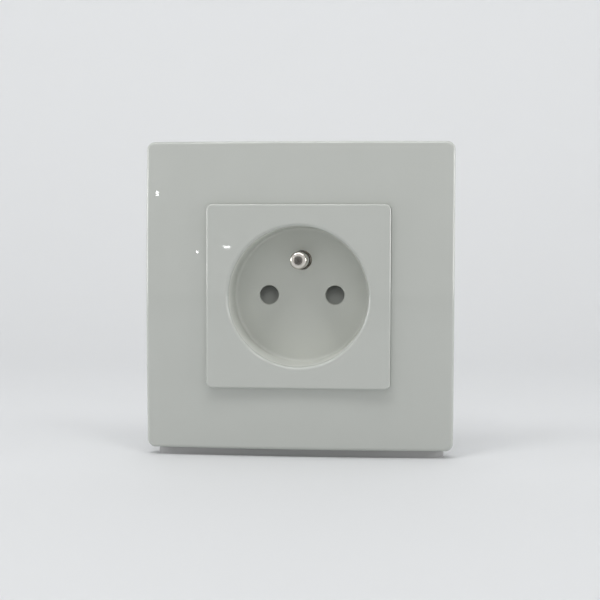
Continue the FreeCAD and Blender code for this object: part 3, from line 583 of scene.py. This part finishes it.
@dataclass
class FrameShell:
    """The domed surround plate with its collar and its snap tongues."""

    node: str = "cover_frame"
    dome_radius: float = 547 * MM
    corner_radius: float = 2.2 * MM
    edge_radius: float = 0.9 * MM
    wall: float = 1.9 * MM
    cover_gap: float = 0.05 * MM
    rear_gap: float = 0.15 * MM
    opening_corner: float = 1.75 * MM
    opening_edge: float = 0.12 * MM
    rim_edge: float = 0.25 * MM
    collar_end: float = -1.2 * MM
    front_limit: float = -3.6 * MM
    corner_steps: int = 10
    edge_steps: int = 8
    opening_steps: int = 3
    rim_steps: int = 2
    side_cuts: int = 31
    ring_cuts: int = 14
    notch_x: float = 30 * MM
    notch_radius: float = 8.25 * MM
    notch_front: float = -5.2 * MM
    notch_depth: float = 24.75 * MM
    tongue_x: float = 15 * MM
    tongue_width: float = 5 * MM
    tongue_thickness: float = 1.2 * MM
    barb_reach: float = 0.9 * MM
    barb_height: float = 1.2 * MM
    barb_level: float = -3.35 * MM
    barb_root: float = 0.1 * MM
    tongue_front: float = -7.4 * MM

    def build(self) -> None:
        """Model the shell."""
        low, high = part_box(self.node)
        half = high.x
        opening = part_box("socket_cover")[1].x + self.cover_gap
        shell = add_box("frame_shell", low, high)
        with editing(shell):
            bpy.ops.mesh.delete(type="VERT")
            self.outline(half, self.corner_radius, low.y)
            self.outline(opening, self.opening_corner, low.y)
        with editing(shell, Element.EDGE, lambda start, end: (end - start).length > opening):
            bpy.ops.mesh.subdivide(number_cuts=self.side_cuts)
        with editing(shell, Element.EDGE):
            bpy.ops.mesh.bridge_edge_loops(number_cuts=self.ring_cuts, interpolation="LINEAR")
        self.dome(shell, low.y)
        self.skirt(shell, half, self.corner_radius, high.y)
        self.skirt(shell, opening, self.opening_corner, self.collar_end)
        self.thicken(shell)
        self.soften(shell, half, opening, high.y)
        for sides in product((-1, 1), repeat=2):
            combine(shell, self.tongue(*sides), Joining.ADD)
        self.clear_screw_heads(shell)
        shade(shell)
        deliver(shell, [self.node], "pale_plastic")

    def outline(self, half: float, corner: float, level: float) -> None:
        """Add a rounded square outline to the mesh in edit mode.

        Args:
            half: Half the square's side.
            corner: The radius of its corners.
            level: The y that it lies at.
        """
        bpy.ops.mesh.select_mode(type="VERT")
        bpy.ops.mesh.select_all(action="DESELECT")
        bpy.ops.mesh.primitive_plane_add(size=2 * half, location=(0, level, 0),
                                         rotation=(math.pi / 2, 0, 0))
        bpy.ops.mesh.bevel(offset=corner, segments=self.corner_steps, profile=0.5,
                           affect="VERTICES")
        bpy.ops.mesh.select_mode(type="FACE")
        bpy.ops.mesh.delete(type="ONLY_FACE")

    def dome(self, shell: Object, crest: float) -> None:
        """Draw the flat ring onto the ball that the front is part of.

        Args:
            shell: The flat ring.
            crest: The y of the dome's highest point.
        """
        cursor = bpy.context.scene.cursor
        cursor.location = (0, crest + self.dome_radius, 0)
        pick(shell)
        bpy.ops.object.origin_set(type="ORIGIN_CURSOR")
        with applied(shell, "CAST") as cast:
            cast.cast_type = "SPHERE"
            cast.use_x = cast.use_z = cast.use_radius_as_size = False
            cast.factor = 1.0
            cast.size = self.dome_radius
        bpy.ops.object.transform_apply(location=True)
        cursor.location = (0, 0, 0)

    @staticmethod
    def skirt(shell: Object, half: float, corner: float, level: float) -> None:
        """Extrude one border of the sheet back to a level.

        Args:
            shell: The domed sheet.
            half: Half the side of the border's rounded square.
            corner: The radius of its corners.
            level: The y that the new border lies at.
        """
        with editing(shell, Element.EDGE, lambda a, b: on_outline(half, corner, a, b)):
            bpy.ops.mesh.extrude_region_move(TRANSFORM_OT_translate={"value": (0, MM, 0)})
            bpy.ops.transform.resize(value=(1, 0, 1), center_override=(0, level, 0))

    def thicken(self, shell: Object) -> None:
        """Give the sheet its wall, inwards from the surface that shows.

        Args:
            shell: The sheet with its two skirts.
        """
        with editing(shell):
            bpy.ops.mesh.normals_make_consistent(inside=False)
        front = min(shell.data.polygons, key=lambda face: face.center.y)
        if front.normal.y > 0:
            with editing(shell):
                bpy.ops.mesh.flip_normals()
        with applied(shell, "SOLIDIFY") as wall:
            wall.thickness = self.wall
            wall.offset = -1
            wall.use_even_offset = True

    def soften(self, shell: Object, half: float, opening: float, rim: float) -> None:
        """Round the outer edge, the edge of the opening and the rear rim.

        Args:
            shell: The walled shell.
            half: Half the side of the outer outline.
            opening: Half the side of the opening.
            rim: The y of the rear rim.
        """
        for width, steps, reach, corner in (
                (self.edge_radius, self.edge_steps, half, self.corner_radius),
                (self.opening_edge, self.opening_steps, opening, self.opening_corner)):
            round_edges(shell, width, steps, lambda a, b: (
                max(a.y, b.y) < self.front_limit and on_outline(reach, corner, a, b)))
        round_edges(shell, self.rim_edge, self.rim_steps, lambda a, b: (
            level_with(rim, a, b) and on_outline(half, self.corner_radius, a, b)))

    def tongue(self, side_x: int, side_z: int) -> Object:
        """Model a snap tongue with its barb, which has a lead-in at the back.

        Args:
            side_x: 1 for a tongue on the right and -1 for one on the left.
            side_z: 1 for a tongue at the upper edge and -1 for one at the lower edge.

        Returns:
            The tongue.
        """
        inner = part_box("mounting_plate")[1].x + self.rear_gap
        half_height = self.barb_height / 2
        spans = {
            "tongue": (inner, inner + self.tongue_thickness, self.tongue_front,
                       self.collar_end - self.rear_gap),
            "barb": (inner - self.barb_reach, inner + self.barb_root,
                     self.barb_level - half_height, self.barb_level + half_height),
        }
        left, right = (side_x * self.tongue_x + end * self.tongue_width / 2 for end in (-1, 1))
        made = []
        for name, (near, far, front, back) in spans.items():
            low, high = sorted((side_z * near, side_z * far))
            made.append(add_box(name, (left, front, low), (right, back, high)))
        tongue, barb = made
        with editing(barb, Element.EDGE, lambda a, b: min(a.y, b.y) > self.barb_level
                     and max(abs(a.z), abs(b.z)) < inner - self.barb_reach / 2):
            bpy.ops.transform.translate(value=(0, -half_height, 0))
        combine(tongue, barb, Joining.ADD)
        return tongue

    def clear_screw_heads(self, shell: Object) -> None:
        """Cut the room for the two box screws' heads out of the collar.

        Args:
            shell: The shell.
        """
        for side in (-1, 1):
            head = add_bar("head_room", (side * self.notch_x, self.notch_front, 0),
                           self.notch_radius, self.notch_depth, ROUND_STEPS)
            combine(shell, head, Joining.TAKE)


@dataclass
class CoverPiece:
    """The raised square with the plug well, its pin holes and its two screw bosses."""

    node: str = "socket_cover"
    corner_radius: float = 1.7 * MM
    edge_radius: float = 0.55 * MM
    wall: float = 1.6 * MM
    front_thickness: float = 1.8 * MM
    skirt_end: float = -1.2 * MM
    well_radius: float = 19.4 * MM
    well_depth: float = 15.0 * MM
    well_wall: float = 2.0 * MM
    rim_radius: float = 1.0 * MM
    floor_radius: float = 1.0 * MM
    pin_x: float = 9.5 * MM
    pin_hole_radius: float = 2.7 * MM
    pin_hole_chamfer: float = 0.25 * MM
    earth_hole_radius: float = 2.8 * MM
    boss_radius: float = 2.6 * MM
    pilot_radius: float = 1.6 * MM
    overlap: float = 0.3 * MM
    corner_steps: int = 10
    edge_steps: int = 6
    rim_steps: int = 12

    def build(self) -> None:
        """Model the cover."""
        low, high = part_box(self.node)
        half, face = high.x, low.y
        floor = face + self.well_depth
        ceiling = face + self.front_thickness
        cover = add_box("cover_well", (-half, face, -half), (half, self.skirt_end, half))
        round_edges(cover, self.corner_radius, self.corner_steps, upright)
        round_edges(cover, self.edge_radius, self.edge_steps, lambda a, b: level_with(face, a, b))
        inner = half - self.wall
        hollow = add_box("hollow", (-inner, ceiling, -inner),
                         (inner, self.skirt_end + MARGIN, inner))
        round_edges(hollow, self.corner_radius, self.edge_steps, upright)
        combine(cover, hollow, Joining.TAKE)
        start = ceiling - self.overlap
        combine(cover, add_bar("tube", (0, start, 0), self.well_radius + self.well_wall,
                               high.y - start, ROUND_STEPS), Joining.ADD)
        for x, z in cover_screw_places():
            combine(cover, add_bar("boss", (x, start, z), self.boss_radius,
                                   self.skirt_end - start, SMALL_ROUND_STEPS), Joining.ADD)
            combine(cover, add_bar("pilot", (x, ceiling, z), self.pilot_radius,
                                   high.y - ceiling, SMALL_ROUND_STEPS), Joining.TAKE)
        well = turn("well", self.well_profile(face, floor), (0, 0), ROUND_STEPS)
        combine(cover, well, Joining.TAKE)
        for side in (-1, 1):
            hole = turn("pin_hole", self.hole_profile(floor, high.y), (side * self.pin_x, 0),
                        SMALL_ROUND_STEPS)
            combine(cover, hole, Joining.TAKE)
        x, z = axis_of("earth_pin")
        combine(cover, add_bar("earth_hole", (x, floor - MARGIN, z), self.earth_hole_radius,
                               high.y - floor + 2 * MARGIN, SMALL_ROUND_STEPS), Joining.TAKE)
        shade(cover)
        deliver(cover, [self.node], "pale_plastic")
        self.dull_and_lighten_well(cover, face + self.rim_radius, floor + self.pin_hole_chamfer)

    def dull_and_lighten_well(self, cover: Object, mouth: float, floor: float) -> None:
        """Give the wall and the floor of the well their satin finish, whose colour is lighter than
        the front's though it is the same plastic: painted light against the shade in the well.

        Args:
            cover: The finished cover.
            mouth: The y where the satin finish begins.
            floor: The y where it ends.
        """
        cover.data.materials.append(LIGHTENED_WELL_PLASTIC.make())
        with editing(cover, Element.FACE, lambda centre, _normal: mouth < centre.y < floor
                     and math.hypot(centre.x, centre.z) < self.well_radius + WELD_DISTANCE):
            cover.active_material_index = len(cover.data.materials) - 1
            bpy.ops.object.material_slot_assign()

    def well_profile(self, face: float, floor: float) -> Profile:
        """Give the half-section of the well's space.

        Args:
            face: The y of the cover's face.
            floor: The y of the well's floor.

        Returns:
            The profile, from the axis in front of the face to the axis at the floor.
        """
        wide = self.well_radius + self.rim_radius
        narrow = self.well_radius - self.floor_radius
        rim = rounding((face + self.rim_radius, wide), self.rim_radius, 180, 270, self.rim_steps)
        foot = rounding((floor - self.floor_radius, narrow), self.floor_radius, 90, 0,
                        self.rim_steps)
        return [(face - MARGIN, 0), (face - MARGIN, wide)] + rim + foot + [(floor, 0)]

    def hole_profile(self, floor: float, back: float) -> Profile:
        """Give the half-section of a pin hole with its chamfered mouth.

        Args:
            floor: The y of the well's floor.
            back: The y of the floor's rear face.

        Returns:
            The profile.
        """
        wide = self.pin_hole_radius + self.pin_hole_chamfer
        return [(floor - MARGIN, 0), (floor - MARGIN, wide), (floor, wide),
                (floor + self.pin_hole_chamfer, self.pin_hole_radius),
                (back + MARGIN, self.pin_hole_radius), (back + MARGIN, 0)]


@dataclass
class EarthPin:
    """The turned earth pin, with its rounded tip, neck, collar and riveted end."""

    node: str = "earth_pin"
    radius: float = 2.4 * MM
    tip_radius: float = 0.9 * MM
    crown: float = 0.01 * MM
    projection: float = 14.0 * MM
    neck_radius: float = 2.0 * MM
    neck_end: float = 10.3 * MM
    collar_radius: float = 3.8 * MM
    collar_end: float = 11.8 * MM
    shank_radius: float = 1.9 * MM
    shank_end: float = 14.1 * MM
    head_radius: float = 2.6 * MM
    head_rounding: float = 0.5 * MM
    edge: float = 0.15 * MM
    crown_steps: int = 4
    tip_steps: int = 16
    head_steps: int = 6

    def build(self) -> None:
        """Turn the pin."""
        tip, end = (corner.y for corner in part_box(self.node))
        floor = tip + self.projection
        flat = self.radius - self.tip_radius
        shares = [step / self.crown_steps for step in range(self.crown_steps)]
        profile = [(tip + self.crown * share ** 2, flat * share) for share in shares]
        profile += rounding((tip + self.crown + self.tip_radius, flat), self.tip_radius, 180, 90,
                            self.tip_steps)
        edge = self.edge
        profile += [(floor - edge, self.radius), (floor, self.radius - edge),
                    (floor, self.neck_radius), (self.neck_end, self.neck_radius),
                    (self.neck_end, self.collar_radius - edge),
                    (self.neck_end + edge, self.collar_radius),
                    (self.collar_end, self.collar_radius), (self.collar_end, self.shank_radius),
                    (self.shank_end, self.shank_radius), (self.shank_end, self.head_radius)]
        head_centre = (end - self.head_rounding, self.head_radius - self.head_rounding)
        profile += rounding(head_centre, self.head_rounding, 90, 0, self.head_steps)
        profile.append((end, 0))
        pin = turn("earth_pin_turned", profile, axis_of(self.node), SMALL_ROUND_STEPS)
        shade(pin)
        deliver(pin, [self.node], "nickel")


@dataclass
class ShutterSpring:
    """The coil spring that pushes the shutter up, and that shortens as the shutter goes down; it
    is wound here once, at the height of its solid.
    """

    node: str = "shutter_spring"
    wire_radius: float = 0.2 * MM
    turns: int = 9
    wire_sides: int = 10
    turn_steps: int = 32
    seat_z: float = -16.0 * MM
    travel: float = 6.4 * MM
    smooth_angle: float = math.radians(60)

    def build(self) -> None:
        """Wind the spring."""
        low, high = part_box(self.node)
        coil_radius = (high.x - low.x) / 2 - self.wire_radius
        middle_y = (low.y + high.y) / 2
        height = high.z - low.z - 2 * self.wire_radius
        coil = add_piece(
            "shutter_coil", bpy.ops.mesh.primitive_circle_add, vertices=self.wire_sides,
            radius=self.wire_radius, fill_type="NOTHING",
            location=(coil_radius, 0, low.z + self.wire_radius), rotation=(math.pi / 2, 0, 0))
        with applied(coil, "SCREW") as wind:
            wind.axis = "Z"
            wind.angle = 2 * math.pi
            wind.screw_offset = height / self.turns
            wind.iterations = self.turns
            wind.steps = wind.render_steps = self.turn_steps
        with editing(coil, Element.EDGE):
            bpy.ops.mesh.select_all(action="DESELECT")
            bpy.ops.mesh.select_non_manifold(extend=False)
            bpy.ops.mesh.fill_holes(sides=0)
            bpy.ops.mesh.select_all(action="SELECT")
            bpy.ops.mesh.normals_make_consistent(inside=False)
            bpy.ops.transform.translate(value=(0, middle_y, 0))
        shade(coil, self.smooth_angle)
        deliver(coil, [self.node], "spring_steel")
        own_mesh(coil)


class Hold(Enum):
    """The kinds of fastener, by the slot of their steel."""

    RIVET = "zinc_steel"
    SCREW = "screw_steel"


@dataclass(frozen=True)
class Headed:
    """The kind of a fastener, its shank's radius and its head's radius and length."""

    kind: Hold
    radius: float
    head_radius: float
    head_length: float


@dataclass
class Fasteners:
    """The rivets and the screws, with rounded heads and cross recesses."""

    plate_rivet: Headed = Headed(Hold.RIVET, 1.5 * MM, 2.6 * MM, 1.2 * MM)
    bond_rivet: Headed = Headed(Hold.RIVET, 1.0 * MM, 2.0 * MM, 1.0 * MM)
    cover_screw: Headed = Headed(Hold.SCREW, 1.5 * MM, SCREW_HEAD_RADIUS, 2.0 * MM)
    terminal_screw: Headed = Headed(Hold.SCREW, 1.75 * MM, 2.8 * MM, 2.0 * MM)
    point_share: float = 0.3
    recess_width: float = 0.7 * MM
    recess_depth: float = 1.0 * MM
    recess_share: float = 0.7
    recess_taper: float = 0.72
    head_edge: float = 0.55 * MM
    dome_steps: int = 10
    edge_steps: int = 6

    def build(self) -> None:
        """Model every rivet and screw."""
        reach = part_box("plate_rivets")[1].x - self.plate_rivet.head_radius
        self.fit("plate_rivets", "plate_rivet_pair", self.plate_rivet,
                 [(reach, reach), (-reach, -reach)])
        self.fit("bond_rivet", "bond_rivet_domed", self.bond_rivet, [axis_of("bond_rivet")])
        self.fit("cover_screws", "cover_screw_pair", self.cover_screw, cover_screw_places())
        for name in ("live", "neutral", "earth"):
            node = f"{name}_terminal_screw"
            self.fit(node, f"{name}_screw_turned", self.terminal_screw, [axis_of(node)])

    def fit(self, node: str, name: str, sizes: Headed, places: Sequence[Pair]) -> None:
        """Turn the rivets or screws of one node, join them and deliver them.

        Args:
            node: The node that they stand for.
            name: The name of the piece.
            sizes: Their kind and their sizes.
            places: The x and z of each.
        """
        low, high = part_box(node)
        turned = self.rivet if sizes.kind is Hold.RIVET else self.screw
        names = [name] + [f"{name}_more"] * (len(places) - 1)
        first, *others = [turned(each, place, low.y, high.y, sizes)
                          for each, place in zip(names, places)]
        for other in others:
            combine(first, other, Joining.ADD)
        shade(first)
        deliver(first, [node], sizes.kind.value)

    def dome(self, start: float, radius: float, length: float) -> Profile:
        """Give the points of a domed head, from its rim to its crown.

        Args:
            start: The y of the head's flat side.
            radius: The head's radius.
            length: Its height, negative towards the room.

        Returns:
            The points of an ellipse's quarter.
        """
        angles = [math.pi / 2 * step / self.dome_steps for step in range(self.dome_steps + 1)]
        return [(start + length * math.sin(a), radius * math.cos(a)) for a in angles]

    def rivet(self, name: str, place: Pair, tip: float, end: float, sizes: Headed) -> Object:
        """Turn a rivet with two domed heads.

        Args:
            name: The piece's name.
            place: The rivet's x and z.
            tip: The y of its front end.
            end: The y of its rear end.
            sizes: Its sizes.

        Returns:
            The object.
        """
        length = sizes.head_length
        front = self.dome(tip + length, sizes.head_radius, -length)[::-1]
        shank = [(tip + length, sizes.radius), (end - length, sizes.radius)]
        back = self.dome(end - length, sizes.head_radius, length)
        return turn(name, front + shank + back, place, FASTENER_STEPS)

    def screw(self, name: str, place: Pair, tip: float, end: float, sizes: Headed) -> Object:
        """Turn a screw that is driven from behind, and sink its cross recess.

        Args:
            name: The piece's name.
            place: The screw's x and z.
            tip: The y of its tip.
            end: The y of its head's end.
            sizes: Its sizes.

        Returns:
            The object.
        """
        x, z = place
        edge, radius, seat = self.head_edge, sizes.radius, end - sizes.head_length
        point = self.point_share * radius
        profile = [(tip, 0), (tip, radius - point), (tip + point, radius), (seat, radius),
                   (seat, sizes.head_radius)]
        profile += rounding((end - edge, sizes.head_radius - edge), edge, 90, 0, self.edge_steps)
        screw = turn(name, profile + [(end, 0)], place, FASTENER_STEPS)
        reach = self.recess_share * sizes.head_radius
        width = self.recess_width / 2
        for half_x, half_z in ((reach, width), (width, reach)):
            blade = add_box("blade", (x - half_x, end - self.recess_depth, z - half_z),
                            (x + half_x, end + MARGIN, z + half_z))
            with editing(blade, Element.FACE, faces_room):
                bpy.ops.transform.resize(value=(self.recess_taper, 1, self.recess_taper),
                                         center_override=(x, end, z))
            combine(screw, blade, Joining.TAKE)
        return screw


@dataclass(frozen=True)
class StudioCamera:
    """The camera, a little to the right of the socket and above it, its angles in radians."""

    place: Point = (26.13 * MM, -330.6 * MM, 12.84 * MM)
    yaw: float = -0.0796
    pitch: float = -0.0427
    roll: float = 0.0033
    focal_length_mm: float = 70.06
    sensor_mm: float = 36.0

    def build(self) -> None:
        """Create the camera and make it the scene's."""
        ahead = Vector((math.sin(self.yaw) * math.cos(self.pitch),
                        math.cos(self.yaw) * math.cos(self.pitch), math.sin(self.pitch)))
        level = Vector((math.cos(self.yaw), -math.sin(self.yaw), 0))
        over = level.cross(ahead)
        right = math.cos(self.roll) * level + math.sin(self.roll) * over
        up = math.cos(self.roll) * over - math.sin(self.roll) * level
        data = bpy.data.cameras.new("studio_camera")
        data.lens = self.focal_length_mm
        data.sensor_width = self.sensor_mm
        camera = bpy.data.objects.new("studio_camera", data)
        bpy.context.scene.collection.objects.link(camera)
        turn_matrix = Matrix((right, up, -ahead)).transposed().to_4x4()
        camera.matrix_world = Matrix.Translation(self.place) @ turn_matrix
        bpy.context.scene.camera = camera


@dataclass(frozen=True)
class SoftLamp:
    """A flat lamp.

    Attributes:
        name: The lamp's name.
        place: Where it stands.
        size: Its width and height.
        power: Its power in watts.
        aim: The point that it faces.
    """

    name: str
    place: Point
    size: Pair
    power: float
    aim: Point = (0.0, 0.0, 0.0)

    def build(self) -> None:
        """Create the lamp."""
        data = bpy.data.lights.new(self.name, "AREA")
        data.shape = "RECTANGLE"
        data.size, data.size_y = self.size
        data.energy = self.power
        lamp = bpy.data.objects.new(self.name, data)
        bpy.context.scene.collection.objects.link(lamp)
        towards = Vector(self.aim) - Vector(self.place)
        lamp.location = self.place
        lamp.rotation_euler = towards.to_track_quat("-Z", "Y").to_euler()
        lamp.visible_camera = False


class Direction(Enum):
    """The ways in which the light all round can grow."""

    FRONT = "Y", -1
    TOP = "Z", 1


@dataclass(frozen=True)
class Glow:
    """A part of the world's light that grows towards one direction.

    Attributes:
        towards: The direction.
        start: The share of that direction at which it starts.
        full: The share at which it is full.
        strength: What it adds there.
    """

    towards: Direction
    start: float
    full: float
    strength: float

    def build(self, tree: NodeTree, split: Node) -> NodeSocket:
        """Add the nodes of this part.

        Args:
            tree: The world's nodes.
            split: The node that gives the direction's three components.

        Returns:
            The socket that gives what this part adds.
        """
        axis, sign = self.towards.value
        along = add_node(tree, "ShaderNodeMath", {0: split.outputs[axis], 1: sign},
                         operation="MULTIPLY")
        return add_node(tree, "ShaderNodeMapRange", {
            "Value": along.outputs["Value"],
            "From Min": self.start,
            "From Max": self.full,
            "To Max": self.strength,
        }, interpolation_type="SMOOTHSTEP").outputs["Result"]


@dataclass
class Studio:
    """The pale seamless stage with its grey strip, which stands in for the shadow under the plate,
    its card, the lamps and the light all round.
    """

    floor_gap: float = 2.1 * MM
    strip_inset: float = 2.4 * MM
    strip_setback: float = 4.4 * MM
    strip_rounding: float = 5.4 * MM
    half_width: float = 1.6
    near: float = -1.2
    far: float = 0.55
    height: float = 1.3
    bend_radius: float = 0.3
    bend_steps: int = 24
    strip_steps: int = 16
    card_size: float = 0.058
    card_middle: Point = (-0.073, -0.9, 0.002)
    base_strength: float = 0.05
    glows: tuple[Glow, ...] = (
        Glow(Direction.FRONT, 0.60, 0.97, 0.74),
        Glow(Direction.TOP, 0.45, 0.90, 0.22),
    )
    seen_strength: float = 0.77
    lamps: tuple[SoftLamp, ...] = (
        SoftLamp("left_softbox", (-0.40, -0.47, 0.72), (0.26, 0.26), 1.70),
        SoftLamp("right_softbox", (0.40, -0.47, 0.72), (0.26, 0.26), 1.20),
        SoftLamp("top_softbox", (0.0, -0.35, 0.82), (0.50, 0.16), 2.0),
        SoftLamp("ceiling_softbox", (0.0, 0.10, 1.20), (0.52, 0.52), 2.3),
        SoftLamp("left_panel", (-1.30, -0.02, 0.20), (0.50, 0.50), 5.5, (0.0, -0.02, 0.20)),
        SoftLamp("right_panel", (1.30, -0.02, 0.20), (0.50, 0.50), 5.5, (0.0, -0.02, 0.20)),
        SoftLamp("left_side_softbox", (-0.60, -0.24, 0.06), (0.20, 0.20), 0.46),
        SoftLamp("right_side_softbox", (0.60, -0.24, 0.06), (0.20, 0.20), 0.46),
        SoftLamp("left_spark", (-0.1259, -0.753, 0.0155), (0.0060, 0.0018), 0.0008),
        SoftLamp("far_left_spark", (-0.2291, -0.7311, 0.0435), (0.0040, 0.0040), 0.0022),
        SoftLamp("high_left_spark", (-0.2925, -0.7053, 0.1382), (0.0035, 0.0075), 0.0028),
    )

    def build(self) -> None:
        """Create the stage, the lamps and the world."""
        self.sweep()
        self.painted_shadow_strip()
        self.dark_card()
        self.world()
        for lamp in self.lamps:
            lamp.build()

    def sweep(self) -> None:
        """Model the seamless sheet under and behind the socket."""
        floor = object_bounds()[0].z - self.floor_gap
        centre = (0, (self.near + self.far) / 2, floor)
        sheet = add_piece("studio_sweep", bpy.ops.mesh.primitive_plane_add, size=1,
                          location=centre)
        with editing(sheet):
            bpy.ops.transform.resize(value=(2 * self.half_width, self.far - self.near, 1),
                                     center_override=centre)
        with editing(sheet, Element.EDGE, lambda a, b: min(a.y, b.y) > self.far - MARGIN):
            bpy.ops.mesh.extrude_region_move(
                TRANSFORM_OT_translate={"value": (0, 0, self.height)})
        round_edges(sheet, self.bend_radius, self.bend_steps, lambda a, b: (
            min(a.y, b.y) > self.far - MARGIN and max(a.z, b.z) < floor + MARGIN))
        pick(sheet)
        bpy.ops.object.shade_smooth()
        dress(sheet, SWEEP_PAPER)
        sheet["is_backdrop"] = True

    def painted_shadow_strip(self) -> None:
        """Model the grey strip that the surround plate stands on, which paints the shadow band
        under the plate's bottom edge.
        """
        low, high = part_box("cover_frame")
        reach = high.x - self.strip_inset
        front = low.y + self.strip_setback
        strip = add_box("painted_shadow_strip", (-reach, front, low.z - self.floor_gap),
                        (reach, high.y, low.z))
        round_edges(strip, self.strip_rounding, self.strip_steps, lambda a, b: (
            max(a.y, b.y) < front + MARGIN and abs(a.x - b.x) < MARGIN))
        dress(strip, SHADOW_STRIP_GREY)
        strip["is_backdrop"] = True

    def dark_card(self) -> None:
        """Model the dark card behind the camera, which metal that faces the camera shows."""
        card = add_piece("dark_card", bpy.ops.mesh.primitive_plane_add, size=self.card_size,
                         location=self.card_middle, rotation=(math.pi / 2, 0, 0))
        dress(card, DARK_FELT)
        card.visible_camera = False
        card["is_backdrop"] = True

    def world(self) -> None:
        """Light the studio all round, more from some directions than from others.

        The camera, and whatever shines, sees a plain pale surround instead.
        """
        world = bpy.data.worlds.new("studio_world")
        bpy.context.scene.world = world
        world.use_nodes = True
        tree = world.node_tree
        direction = add_node(tree, "ShaderNodeTexCoord", {}).outputs["Generated"]
        split = add_node(tree, "ShaderNodeSeparateXYZ", {"Vector": direction})
        total = self.base_strength
        for glow in self.glows:
            parts = {0: total, 1: glow.build(tree, split)}
            total = add_node(tree, "ShaderNodeMath", parts, operation="ADD").outputs["Value"]
        strength = add_node(tree, "ShaderNodeMix", {
            "Factor": self.seen(tree), "A": total, "B": self.seen_strength})
        background = tree.nodes["Background"]
        background.inputs["Color"].default_value = (1, 1, 1, 1)
        tree.links.new(strength.outputs["Result"], background.inputs["Strength"])

    @staticmethod
    def seen(tree: NodeTree) -> NodeSocket:
        """Add the nodes that tell a ray from the camera, or by way of a mirror or glass.

        Args:
            tree: The world's nodes.

        Returns:
            The socket that gives 1 for such a ray.
        """
        path = add_node(tree, "ShaderNodeLightPath", {})
        found = path.outputs["Is Camera Ray"]
        for kind in ("Is Glossy Ray", "Is Transmission Ray"):
            found = add_node(tree, "ShaderNodeMath", {0: found, 1: path.outputs[kind]},
                             operation="MAXIMUM").outputs["Value"]
        return found


def dress_solids(frame: dict) -> None:
    """Give every solid that still shows the finish of its slot.
    """
    for part in frame["record"]["subparts"]:
        node = frame["nodes"][part["node"]]
        if not node.hide_render:
            dress(node, SLOT_FINISHES[part["material_slot"]])
            log.info("%s: %s", part["node"], part["material_slot"])


def main() -> None:
    """Build the pieces, the finishes and the studio around the frame."""
    logging.basicConfig(level=logging.INFO, format="%(name)s: %(message)s")
    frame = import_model()
    bpy.context.scene.view_settings.view_transform = "Standard"
    StudioCamera().build()
    for assembly in (FrameShell(), CoverPiece(), EarthPin(), ShutterSpring(), Fasteners()):
        assembly.build()
    dress_solids(frame)
    Studio().build()


if __name__ == "__main__":
    main()
